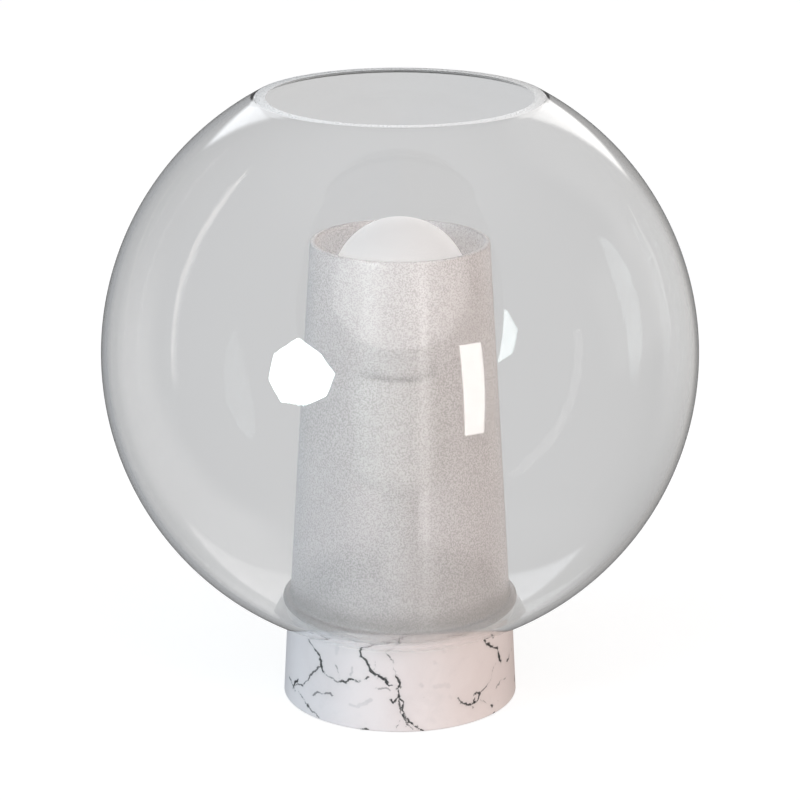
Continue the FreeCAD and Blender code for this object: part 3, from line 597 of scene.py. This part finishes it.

# Veins: (width mm, darkness, [(angle, height)]) with the angle in degrees from the
# front, to the right, and the height in mm above the table. Drawn point by point.
VEINS = [
    (0.50, 0.55, [(1.2, 43.2), (-0.3, 40.2), (-6.3, 39.7), (-14.0, 39.0), (-18.3, 36.9)]),
    (0.75, 0.95, [(-18.3, 36.9), (-20.3, 35.3), (-19.5, 33.7), (-17.4, 31.9), (-15.9, 29.7), (-14.7, 27.9), (-13.1, 26.6), (-10.8, 25.7), (-8.9, 24.5), (-7.0, 23.2), (-6.6, 21.5)]),
    (0.50, 0.80, [(-6.6, 21.5), (-5.5, 20.8), (-3.3, 21.0), (-1.4, 21.1), (0.1, 20.7)]),
    (0.85, 0.95, [(-2.2, 25.7), (-1.0, 24.4), (0.1, 22.0), (0.4, 20.7), (-1.0, 19.7), (-0.4, 17.6), (-1.0, 15.9)]),
    (0.60, 0.75, [(-1.0, 15.9), (-3.3, 13.5), (-5.1, 15.2)]),
    (0.60, 0.85, [(-1.0, 15.9), (1.2, 14.6), (1.8, 12.9), (1.2, 10.2), (1.5, 7.8)]),
    (0.90, 0.90, [(1.5, 7.8), (4.1, 5.7), (6.3, 4.3), (8.5, 1.8), (11.5, 0.6)]),
    (0.45, 0.60, [(-0.7, 14.9), (0.1, 11.5), (0.8, 8.8), (1.9, 6.8), (4.9, 3.3), (6.3, 1.7)]),
    (0.30, 0.40, [(0.1, 6.1), (-0.3, 4.1), (-1.4, 1.7)]),
    (0.80, 0.90, [(-19.4, 0.5), (-17.3, 1.1), (-15.2, 1.1)]),
    (0.70, 0.90, [(-53.3, 34.1), (-50.0, 32.4), (-45.9, 30.3), (-43.4, 28.5), (-42.7, 25.6), (-41.9, 23.1), (-39.8, 21.5)]),
    (0.40, 0.55, [(-43.3, 24.1), (-46.6, 21.9), (-50.0, 19.0), (-52.3, 15.6), (-56.2, 12.8)]),
    (0.45, 0.60, [(-73.0, 10.9), (-67.8, 9.1), (-63.8, 7.7)]),
    (0.60, 0.80, [(-66.7, 7.8), (-65.0, 11.1), (-60.8, 13.8)]),
    (0.45, 0.60, [(-67.8, 9.1), (-59.1, 12.3), (-56.2, 12.4)]),
    (0.35, 0.45, [(-61.3, 9.2), (-57.3, 7.6), (-54.4, 5.7), (-51.1, 4.5), (-48.1, 2.9), (-44.7, 1.8), (-42.6, 1.3)]),
    (0.70, 0.75, [(-52.0, 4.6), (-50.5, 4.4)]),
    (0.50, 0.70, [(-56.9, 0.4), (-53.5, 0.7)]),
    (0.35, 0.40, [(-39.8, 21.5), (-36.4, 20.9), (-34.5, 19.9), (-32.2, 19.6)]),
    (0.75, 0.92, [(-32.2, 19.6), (-30.0, 20.7), (-27.9, 20.4), (-25.4, 22.1), (-22.5, 21.9), (-20.1, 22.2)]),
    (0.60, 0.60, [(-17.7, 23.1), (-15.4, 24.3)]),
    (0.30, 0.30, [(-52.7, 34.1), (-45.0, 35.7), (-38.8, 37.7), (-35.5, 38.5)]),
    (0.90, 0.18, [(-33.1, 36.1), (-33.4, 32.0)]),
    (0.40, 0.30, [(-33.8, 27.2), (-31.9, 23.4), (-30.9, 21.2)]),
    (0.50, 0.28, [(-24.2, 27.4), (-25.0, 23.9)]),
    (0.60, 0.42, [(-48.4, 10.1), (-44.6, 12.5), (-41.0, 12.7), (-38.1, 13.3), (-34.8, 13.3)]),
    (0.60, 0.22, [(-25.2, 10.9), (-21.5, 10.4), (-18.4, 11.8), (-13.8, 14.3)]),
    (0.50, 0.30, [(-12.3, 19.5), (-7.7, 19.5), (-4.8, 18.8)]),
    (0.40, 0.40, [(-15.1, 30.1), (-14.7, 27.9)]),
    (0.35, 0.30, [(-12.4, 31.3), (-12.0, 28.7), (-13.9, 27.0)]),
    (0.40, 0.50, [(-7.1, 36.0), (-5.6, 34.4), (-4.8, 32.7), (-2.9, 31.1)]),
    (0.30, 0.30, [(-3.7, 37.1), (-5.2, 35.4)]),
    (0.35, 0.30, [(-3.3, 29.1), (-2.2, 26.4)]),
    (0.75, 0.90, [(46.9, 35.1), (49.1, 33.0), (53.4, 30.5), (56.8, 29.5), (58.1, 27.4), (59.0, 24.4), (60.8, 21.1)]),
    (0.40, 0.45, [(52.4, 36.6), (54.9, 34.2)]),
    (0.50, 0.60, [(72.7, 21.2), (67.2, 19.5)]),
    (0.35, 0.40, [(77.3, 22.5), (76.0, 21.5)]),
    (0.35, 0.45, [(55.9, 22.4), (52.8, 19.3), (50.7, 16.4), (47.1, 13.9), (43.2, 12.8)]),
    (0.90, 0.95, [(39.6, 11.3), (39.1, 9.3), (37.1, 8.7), (33.9, 9.9), (30.9, 11.4)]),
    (0.40, 0.50, [(30.9, 11.4), (29.0, 13.2)]),
    (0.50, 0.70, [(37.1, 8.7), (38.2, 7.1)]),
    (0.50, 0.65, [(39.1, 9.0), (41.6, 9.8), (43.2, 12.1), (40.2, 13.2), (38.7, 12.2)]),
    (0.35, 0.35, [(43.1, 9.4), (47.4, 6.6), (52.0, 4.4)]),
    (0.70, 0.70, [(50.6, 5.0), (52.3, 4.3)]),
    (0.40, 0.30, [(66.5, 13.1), (59.5, 13.2), (55.0, 11.1)]),
    (0.60, 0.60, [(53.1, 1.1), (49.4, 0.5)]),
    (0.80, 0.16, [(17.1, 19.8), (21.0, 19.8), (24.7, 18.7)]),
    (0.90, 0.20, [(10.2, 21.2), (10.9, 20.5)]),
    (0.80, 0.14, [(21.7, 35.5), (22.9, 34.3)]),
    (0.70, 0.14, [(17.2, 30.8), (18.1, 30.0)]),
    (0.90, 0.12, [(25.0, 14.4), (25.8, 13.8)]),
]


# Knots where veins meet: (angle, height, radius mm).
KNOTS = [
    (-0.5, 20.6, 0.62), (-1.0, 15.9, 0.45), (1.5, 7.8, 0.55), (39.2, 9.2, 0.70), (40.2, 12.8, 0.45), (33.9, 9.9, 0.50),
    (-64.4, 10.6, 0.55), (-51.4, 4.5, 0.50), (51.4, 4.5, 0.45), (-18.6, 36.6, 0.45), (-28.9, 20.6, 0.50), (-42.8, 27.0, 0.45),
    (57.2, 28.9, 0.50), (-16.4, 1.1, 0.55), (-7.0, 22.4, 0.40), (121.0, 22.0, 0.60), (168.0, 12.0, 0.55), (207.0, 24.0, 0.60),
]


def grown_veins(seed):
    """Veins of the same kind round the sides and back, grown from a fixed seed."""
    rnd = random.Random(seed)
    out = []

    def grow(a, z, heading, length, width, dark, depth):
        pts = [(a, z)]
        gone = 0.0
        while gone < length:
            step = rnd.uniform(0.9, 2.6)
            heading += rnd.gauss(0.0, 0.42)
            a += math.degrees(step * math.cos(heading) / 49.4)
            z += step * math.sin(heading)
            gone += step
            pts.append((a, z))
            if not -1.0 < z < 42.0:
                break
            if depth < 2 and rnd.random() < 0.17:
                grow(a, z, heading + rnd.choice((-1, 1)) * rnd.uniform(0.5, 1.2), length * rnd.uniform(0.25, 0.5),
                     width * rnd.uniform(0.45, 0.75), dark * rnd.uniform(0.5, 0.85), depth + 1)
        # the line thins and fades here and there along its run
        k = 0
        while k < len(pts) - 1:
            n = rnd.randint(2, 5)
            piece = pts[k:k + n + 1]
            out.append((max(0.3, width * rnd.uniform(0.55, 1.25)), min(0.95, dark * rnd.uniform(0.55, 1.1)), piece))
            k += n

    for centre in (92.0, 116.0, 141.0, 165.0, 190.0, 214.0, 236.0, 262.0):
        a = centre + rnd.uniform(-6, 6)
        top = rnd.random() < 0.6
        grow(a, rnd.uniform(30, 35) if top else rnd.uniform(2, 8),
             rnd.uniform(-2.2, -0.9) if top else rnd.uniform(0.7, 2.3),
             rnd.uniform(26, 44), rnd.uniform(0.6, 0.95), rnd.uniform(0.7, 0.95), 0)
    for k in range(16):
        grow(rnd.uniform(85, 275), rnd.uniform(2, 34), rnd.uniform(-3.1, 3.1), rnd.uniform(5, 13),
             rnd.uniform(0.35, 0.6), rnd.uniform(0.22, 0.45), 1)
    return [(w, k, [((a + 180.0) % 360.0 - 180.0, z) for a, z in pts]) for w, k, pts in out]


def paint_veins(obj):
    """Each point of the drum gets how deep in a vein it lies."""
    mesh = obj.data
    co = np.zeros(len(mesh.vertices) * 3)
    mesh.vertices.foreach_get("co", co)
    co = co.reshape(-1, 3) / MM
    rad = np.hypot(co[:, 0], co[:, 1])
    ang = np.degrees(np.arctan2(co[:, 0], -co[:, 1]))
    s = np.radians(ang) * 49.4
    # over the top edge the veins run on inwards across the shoulder
    z = np.where(co[:, 2] > 35.6, 35.9 + np.maximum(0.0, 48.3 - rad) + np.maximum(0.0, co[:, 2] - 35.9), co[:, 2])
    rnd = np.random.default_rng(7)
    reach = np.full(len(co), 4.0)
    depth = np.zeros(len(co))
    faint = np.zeros(len(co))
    turn = 2 * math.pi * 49.4
    for width, dark, pts in VEINS + grown_veins(41):
        # seeded wander between the drawn points, so that no run is straight, and a
        # width that swells and pinches along the line
        line, half = [], []
        swell = 1.0
        drift = np.zeros(2)
        for (a0, z0), (a1, z1) in zip(pts[:-1], pts[1:]):
            if a1 - a0 > 180:
                a1 -= 360
            if a0 - a1 > 180:
                a1 += 360
            p0 = np.array([math.radians(a0) * 49.4, z0])
            p1 = np.array([math.radians(a1) * 49.4, z1])
            n = max(1, int(np.linalg.norm(p1 - p0) / 0.55))
            for k in range(n):
                drift = drift * 0.55 + rnd.normal(0, 0.24, 2) * (0.0 if k == 0 else 1.0)
                swell = min(2.1, max(0.35, swell + rnd.normal(0, 0.34) + 0.18 * (1.0 - swell)))
                line.append(p0 + (p1 - p0) * k / n + drift)
                half.append(width / 2 * swell)
            last = p1
        line.append(last)
        half.append(width / 2 * 0.5)
        line, half = np.array(line), np.array(half)
        half[0] *= 0.7
        lo, hi = line.min(0), line.max(0)
        for shift in (-turn, 0.0, turn):
            near = np.where((s > lo[0] + shift - 4) & (s < hi[0] + shift + 4) & (z > lo[1] - 4) & (z < hi[1] + 4))[0]
            if not len(near):
                continue
            q = np.stack([s[near] - shift, z[near]], 1)
            best = np.full(len(near), 1e9)
            for p0, p1, h0, h1 in zip(line[:-1], line[1:], half[:-1], half[1:]):
                v = p1 - p0
                t = np.clip(((q - p0) @ v) / max(1e-9, v @ v), 0, 1)
                dist = np.linalg.norm(q - (p0 + t[:, None] * v), axis=1) - (h0 + (h1 - h0) * t)
                best = np.minimum(best, dist)
            if dark >= 0.3:
                closer = best < reach[near]
                reach[near[closer]] = best[closer]
                depth[near[closer]] = dark
            else:
                soft = dark * 2.2 * np.exp(-(np.maximum(0, best) / (width * 0.9)) ** 2)
                faint[near] = np.maximum(faint[near], soft)
    for a0, z0, size in KNOTS:
        gap = (s - math.radians(a0) * 49.4 + turn / 2) % turn - turn / 2
        d = np.hypot(gap, z - z0) - size
        closer = d < reach
        reach[closer] = d[closer]
        depth[closer] = 0.95
    for name, values in (("reach", reach), ("depth", depth), ("faint", faint)):
        a = mesh.attributes.new(name, "FLOAT", "POINT")
        a.data.foreach_set("value", values.astype(np.float32))


paint_veins(drum)
dress(drum, "stone", "lamp_body", "stone_base")


# ------------------------------------------------------------------ rings, pad and plate
gasket = turned("globe_seat_ring", rounded([
    (43.9, 35.9, 0.25), (48.1, 35.9, 0.25), (48.1, 36.6, 0.25), (43.9, 36.6, 0.25)], 4), 192)
dress(gasket, "silicone", "lamp_body", "globe_gasket")


def bowl(r):
    return CZ - math.sqrt(RI * RI - r * r)


clamp = turned("soft_clamp_ring", rounded([
    (44.6, bowl(44.6) + 0.1, 0.3), (46.1, bowl(46.1) + 0.1), (47.6, bowl(47.6) + 0.1, 0.2),
    (47.6, 38.9, 0.2), (44.6, 38.9, 0.3)], 4), 192)
dress(clamp, "silicone", "lamp_body", "globe_clamp_ring")

seat = turned("cone_seat_ring", rounded([
    (45.0, 39.9, 0.15), (48.2, 39.9, 0.15), (48.2, 40.3, 0.15), (45.0, 40.3, 0.15)], 4), 192)
dress(seat, "silicone", "lamp_body", "diffuser_seat_ring")

plate = turned("pressed_plate", split(rounded([
    (5.3, 38.9, 0.3), (48.6, 38.9, 0.45), (48.6, 39.9, 0.45), (43.9, 39.9, 0.7), (43.9, 44.5, 0.45),
    (42.9, 44.5, 0.45), (42.9, 39.9, 0.9), (5.3, 39.9, 0.3)], 5), 6.0), 192, sharp=40.0)
dress(plate, "plate_paint", "lamp_body", "retaining_plate")

pad = turned("foam_foot", split(rounded([
    (0.0, 0.0), (46.1, 0.0, 0.5), (46.1, 2.4, 0.5), (0.0, 2.4)], 4), 5.0), 192, sharp=40.0)
dress(pad, "pad", "lamp_body", "foot_pad")

bush = turned("outlet_bush", rounded([
    (3.2, 0.0, 0.4), (4.0, 0.0, 0.35), (4.0, 18.3, 0.1), (6.0, 18.3, 0.15), (6.0, 20.0, 0.75), (3.2, 20.0, 0.6)], 6),
    96, sharp=40.0)
bush.data.transform(Matrix.Translation((0, 29.5 * MM, 14.0 * MM)) @ Matrix.Rotation(math.radians(-90), 4, "X"))
dress(bush, "white_plastic", "lamp_body", "cable_outlet_bush")


# ------------------------------------------------------------------ stem and lampholder
stem = turned("spun_stem", split(rounded([
    (5.2, 39.9, 0.2), (14.0, 39.9, 0.5), (14.0, 41.9, 0.8), (8.0, 43.4, 2.5), (8.0, 93.0, 0.4), (5.2, 93.0, 0.2)], 6), 8.0),
    128, sharp=40.0)
dress(stem, "plate_paint", "lamp_body", "stem_tube")

holder_cap = turned("holder_lower_shell", split(rounded([
    (5.2, 93.0, 0.3), (14.0, 93.0, 2.0), (18.1, 96.0, 3.0), (20.0, 100.0, 4.0), (20.5, 104.0, 4.0), (20.5, 112.0, 0.35),
    (18.5, 112.0, 0.2), (18.5, 104.0), (17.9, 103.8), (16.9, 99.4), (14.1, 95.9), (11.5, 95.0), (5.2, 95.0, 0.2)], 6), 4.0),
    160, sharp=40.0)
dress(holder_cap, "white_plastic", "lamp_body", "lampholder_cap")


def grip(r, z, a):
    """Fine upright grooves in the skirt's grip band."""
    if r > 19.5 and 126.6 < z < 140.5:
        fade = min(1.0, (z - 126.6) / 1.5, (140.5 - z) / 1.5)
        return r - 0.18 * fade * (0.5 - 0.5 * math.cos(48 * a)), z
    return r, z


skirt_rows = [(20.2 + (19.25 - 20.2) * k / 16, 126.4 + 16.0 * k / 16) for k in range(17)]
holder_skirt = turned("holder_upper_shell", split(rounded([
    (15.0, 109.1, 0.2), (18.2, 109.1, 0.3), (18.2, 112.1, 0.1), (20.5, 112.1, 0.35), (20.5, 124.0, 0.4),
    (20.0, 124.6, 0.3), (20.0, 125.6, 0.3)] + [(r, z) for r, z in skirt_rows] + [
    (19.2, 143.5, 1.0), (15.0, 143.5, 0.9)], 5), 4.0), 384, sharp=60.0, warp=grip)
dress(holder_skirt, "white_plastic", "lamp_body", "lampholder_skirt")


# ------------------------------------------------------------------ bulb
BULB_Z, BULB_R, BULB_MOUTH = 180.9, 28.6, 157.9
a_low = math.asin((BULB_MOUTH - BULB_Z) / BULB_R)
a_low_i = math.asin((BULB_MOUTH - BULB_Z) / (BULB_R - 1.0))
opal_outline = [(BULB_R * math.cos(a_low + (math.pi / 2 - a_low) * k / 72),
                 BULB_Z + BULB_R * math.sin(a_low + (math.pi / 2 - a_low) * k / 72)) for k in range(73)]
opal_outline[-1] = (0.0, BULB_Z + BULB_R)
opal_inner = [((BULB_R - 1.0) * math.cos(a_low_i + (math.pi / 2 - a_low_i) * k / 60),
               BULB_Z + (BULB_R - 1.0) * math.sin(a_low_i + (math.pi / 2 - a_low_i) * k / 60)) for k in range(61)]
opal_inner[-1] = (0.0, BULB_Z + BULB_R - 1.0)
envelope = turned("opal_envelope", opal_outline + opal_inner[::-1], 160, sharp=40.0)
dress(envelope, "opal", "bulb", "bulb_envelope")

collar = turned("bulb_neck", split(rounded([
    (13.4, 144.4, 0.3), (14.3, 145.9, 1.0), (16.0, 154.9, 2.0), (17.0, 157.85, 0.3), (15.3, 157.85, 0.1), (15.3, 156.4, 0.1),
    (14.0, 156.4, 0.1), (14.0, 154.9), (12.0, 146.4), (12.0, 144.4, 0.1)], 5), 2.5), 160, sharp=40.0)
dress(collar, "grey_plastic", "bulb", "bulb_collar")


def thread(r, z, a):
    """Rounded screw thread of 3.629 mm pitch on the outside of the cap."""
    if r > 12.05:
        fade = max(0.0, min(1.0, (z - 123.4) / 1.6, (142.9 - z) / 1.2))
        wave = 0.5 - 0.5 * math.cos(2 * math.pi * ((z - 124.2) / 3.629 - a / (2 * math.pi)))
        return 12.2 + fade * 0.9 * wave ** 0.8 + (0.8 if z > 142.9 else 0.0) * min(1.0, (z - 142.9) / 0.5), z
    return r, z


cap_rows = [(12.2, 123.4 + (144.3 - 123.4) * k / 84) for k in range(85)]
screw_cap = turned("threaded_cap", [(11.7, 123.0), (12.0, 123.0)] + cap_rows + [(11.7, 144.35)], 128, sharp=60.0, warp=thread)
dress(screw_cap, "nickel", "bulb", "bulb_screw_cap")

insulator = turned("cap_insulator", rounded([
    (0.0, 119.4), (5.2, 119.4, 0.3), (11.0, 122.4, 0.3), (11.5, 122.95, 0.1), (11.65, 122.95, 0.1), (11.65, 125.5, 0.1),
    (10.2, 125.5, 0.1), (10.2, 123.5, 0.1), (0.0, 123.5)], 4), 96, sharp=40.0)
dress(insulator, "black_plastic", "bulb", "bulb_insulator")

tip = turned("solder_tip", rounded([
    (0.0, 117.9), (3.0, 117.9, 1.0), (4.6, 118.8, 0.8), (4.6, 119.38, 0.1), (0.0, 119.38)], 5), 96, sharp=50.0)
dress(tip, "nickel", "bulb_tip", "bulb_contact_tip")


# ------------------------------------------------------------------ pieces kept from the model
KEPT = {
    "bottom_cover": "steel", "cover_screws": "steel", "threaded_nipple": "steel", "clamp_washer": "steel",
    "lock_nut": "steel", "holder_nut": "steel", "terminal_screws": "steel", "threaded_inserts": "brass",
    "centre_contact": "brass", "terminal_blocks": "brass", "lampholder_insert": "ceramic",
    "screw_shell_contact": "nickel", "led_chips": "opal", "led_board": "board_white", "driver_board": "board_green",
}
for name, slot in KEPT.items():
    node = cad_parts[name]
    if not node.material_slots:
        node.data.materials.append(None)
    for s in node.material_slots:
        s.material = MAT[slot]


# ------------------------------------------------------------------ surroundings
def make_world():
    world = bpy.data.worlds.new("studio")
    scene.world = world
    world.use_nodes = True
    t = Tree(world.node_tree, is_world=True)
    d = t.node("ShaderNodeTexCoord").outputs["Generated"]
    x, y, z = t.xyz(d)
    flat = t.math("SQRT", t.add(t.add(t.mul(x, x), t.mul(y, y)), 1e-6))
    behind = t.math("DIVIDE", y, flat)               # 1 straight behind the lamp, -1 at the camera
    right = t.math("DIVIDE", x, flat)
    az = t.mul(t.math("ARCTAN2", x, t.mul(y, -1.0)), 180.0 / math.pi)
    el = t.mul(t.math("ARCSINE", z), 180.0 / math.pi)
    back = t.step(behind, 0.862, 0.892)
    slant = t.mul(t.step(az, -179.0, -152.0, 0.0, -8.0), t.step(right, 0.0, -0.04))
    wall = t.mul(t.mul(back, t.step(t.add(el, slant), 5.5, 9.0)), t.step(el, 33.0, 40.0, 1.0, 0.0))
    cool, warm = (0.95, 0.985, 1.03), (1.03, 1.0, 0.97)
    tint = t.mix(t.step(right, -0.7, 0.7), cool, warm)

    def level(value):
        n = t.node("ShaderNodeVectorMath", operation="SCALE")
        t.put(n.inputs[0], tint)
        t.put(n.inputs["Scale"], value)
        return n.outputs[0]

    seen_through = t.step(el, 5.0, 60.0, 0.650, 0.73)
    seen_through = t.mul(seen_through, t.step(behind, 0.9985, 0.955, 1.0, 0.93))
    glow = t.mul(t.band(az, 112.0, 128.0, 148.0, 162.0), t.band(el, -35.0, -10.0, 35.0, 60.0))
    seen_through = t.mul(seen_through, t.mixf(glow, 1.0, 1.9))
    seen_through = t.mixf(wall, seen_through, 1.8)
    mirrored = t.step(el, 38.0, 75.0, 0.16, 0.62)
    mirrored = t.mixf(t.step(el, -3.0, -14.0), mirrored, 0.13)
    mirrored = t.mixf(t.step(el, -36.0, -48.0), mirrored, t.step(behind, 0.60, 0.85, 0.30, 0.42))
    mirrored = t.mixf(t.mul(t.band(az, 80.0, 92.0, 118.0, 130.0), t.band(el, -9.0, -1.0, 16.0, 28.0)), mirrored, 0.55)
    mirrored = t.mixf(wall, mirrored, 1.75)
    lit = t.mul(t.step(el, -30.0, 50.0, 0.46, 0.74), t.step(behind, 0.2, -0.9, 0.68, 1.30))
    path = t.node("ShaderNodeLightPath")
    colour = level(lit)
    colour = t.mix(path.outputs["Is Glossy Ray"], colour, level(mirrored))
    colour = t.mix(path.outputs["Is Transmission Ray"], colour, level(seen_through))
    colour = t.mix(path.outputs["Is Camera Ray"], colour, (1.0, 1.0, 1.0))
    bg = t.node("ShaderNodeBackground")
    t.put(bg.inputs["Color"], colour)
    bg.inputs["Strength"].default_value = 1.0
    t.finish(bg.outputs[0])


make_world()


def make_floor():
    mesh = bpy.data.meshes.new("floor")
    h = 60.0
    mesh.from_pydata([(-h, -h, 0), (h, -h, 0), (h, h, 0), (-h, h, 0)], [], [(0, 1, 2, 3)])
    floor = bpy.data.objects.new("floor", mesh)
    scene.collection.objects.link(floor)
    m, t = material("floor")
    d = t.node("ShaderNodeBsdfDiffuse")
    d.inputs["Color"].default_value = (0.30, 0.30, 0.30, 1.0)
    e = t.node("ShaderNodeEmission")
    e.inputs["Strength"].default_value = 0.80
    a = t.node("ShaderNodeAddShader")
    t.t.links.new(d.outputs[0], a.inputs[0])
    t.t.links.new(e.outputs[0], a.inputs[1])
    t.finish(a.outputs[0])
    mesh.materials.append(m)
    floor.visible_diffuse = False
    floor.visible_glossy = False
    floor.visible_transmission = False
    floor.visible_shadow = False
    floor.visible_volume_scatter = False


make_floor()


# Studio lights are placed by where the sphere mirrors them: a point of the picture
# is followed to the sphere and on along its reflection.
FOCAL, PITCH = 3179.45, math.radians(17.28)
EYE = np.array([0.0, -1280.2, 528.9])
FWD = np.array([0.0, math.cos(PITCH), -math.sin(PITCH)])
UP = np.array([0.0, math.sin(PITCH), math.cos(PITCH)])
MID = np.array([0.0, 0.0, CZ])


def mirrored_point(px, py, far=12000.0):
    d = FWD + np.array([(px - 400.0) / FOCAL, 0, 0]) + UP * ((400.0 - py) / FOCAL)
    d = d / np.linalg.norm(d)
    o = EYE - MID
    b = o @ d
    disc = b * b - (o @ o - R * R)
    p = o + d * (-b - math.sqrt(max(disc, 0.0)))
    n = p / np.linalg.norm(p)
    r = d - 2 * (d @ n) * n
    # where that reflection meets a large sphere round the lamp
    b2 = p @ r
    t = -b2 + math.sqrt(b2 * b2 - (p @ p - far * far))
    return (MID + p + t * r) * MM


def emitter(name, pixels, colour, strength, seen_through=True):
    verts = [tuple(mirrored_point(*p)) for p in pixels]
    mesh = bpy.data.meshes.new(name)
    mesh.from_pydata(verts, [], [tuple(range(len(verts)))])
    bm = bmesh.new()
    bm.from_mesh(mesh)
    bmesh.ops.triangulate(bm, faces=bm.faces)
    bm.to_mesh(mesh)
    bm.free()
    return light_up(name, mesh, colour, strength, seen_through)


def light_up(name, mesh, colour, strength, seen_through=True):
    obj = bpy.data.objects.new(name, mesh)
    scene.collection.objects.link(obj)
    m, t = material(name)
    e = t.node("ShaderNodeEmission")
    e.inputs["Color"].default_value = (*colour, 1.0)
    e.inputs["Strength"].default_value = strength
    t.finish(e.outputs[0])
    mesh.materials.append(m)
    obj.visible_camera = False
    obj.visible_diffuse = False
    obj.visible_shadow = False
    obj.visible_transmission = seen_through
    return obj


def strip(name, line, widths, colour, strength):
    """A thin curved light: pixel line with a width in pixels at each point."""
    left, right = [], []
    for i, (x, y) in enumerate(line):
        x0, y0 = line[max(0, i - 1)]
        x1, y1 = line[min(len(line) - 1, i + 1)]
        n = math.hypot(x1 - x0, y1 - y0)
        nx, ny = -(y1 - y0) / n, (x1 - x0) / n
        w = widths[i] / 2
        left.append(tuple(mirrored_point(x + nx * w, y + ny * w)))
        right.append(tuple(mirrored_point(x - nx * w, y - ny * w)))
    verts = left + right
    n = len(line)
    faces = []
    for i in range(n - 1):
        faces.append((i, i + 1, n + i + 1, n + i))
    mesh = bpy.data.meshes.new(name)
    mesh.from_pydata(verts, [], faces)
    return light_up(name, mesh, colour, strength, seen_through=False)


emitter("softbox_left", [
    (298.4, 337.5), (320.2, 353.6), (334.8, 373.6), (332.1, 381.3), (326.4, 396.4), (305.0, 405.7),
    (280.9, 401.8), (268.4, 379.5), (273.8, 353.6)], (0.90, 1.0, 1.0), 22.0)
emitter("softbox_right", [
    (459.5, 345.5), (480.9, 342.0), (484.5, 375.0), (485.4, 400.0), (484.1, 433.0),
    (465.2, 436.3), (464.3, 407.1), (462.1, 371.4)], (1.0, 0.985, 0.965), 8.0)
strip("long_strip_left", [(248, 169), (237, 183), (225, 200), (211, 219), (199, 239), (190, 259), (182, 280), (177, 304), (174, 329), (173, 378)],
      [1, 2.5, 4, 5, 5, 5, 4.5, 4, 3, 1], (1.0, 0.93, 0.86), 1.5)
strip("thin_strip_left", [(184, 169), (167, 191), (152, 216), (140, 246), (131, 280), (126, 320)],
      [0.6, 1.4, 1.6, 1.6, 1.4, 0.6], (1.0, 0.97, 0.94), 0.30)
strip("long_strip_right", [(628, 205), (640, 230), (655, 260), (664, 292), (671, 335)],
      [1, 2, 3, 2, 1], (1.0, 0.99, 0.97), 0.7)


def area_light(name, place, aim, size, power, colour):
    data = bpy.data.lights.new(name, "AREA")
    data.shape = "DISK"
    data.size = size
    data.energy = power
    data.color = colour
    obj = bpy.data.objects.new(name, data)
    obj.location = place
    obj.rotation_euler = (Vector(aim) - Vector(place)).to_track_quat("-Z", "Y").to_euler()
    scene.collection.objects.link(obj)
    obj.visible_glossy = False
    obj.visible_transmission = False
    obj.visible_camera = False
    return obj


area_light("cool_key", (-1.8, -1.2, 0.9), (0, 0, 0.10), 0.9, 18.0, (0.58, 0.81, 1.0))
area_light("warm_fill", (1.65, -1.45, 0.9), (0, 0, 0.10), 0.9, 15.0, (1.0, 0.70, 0.61))
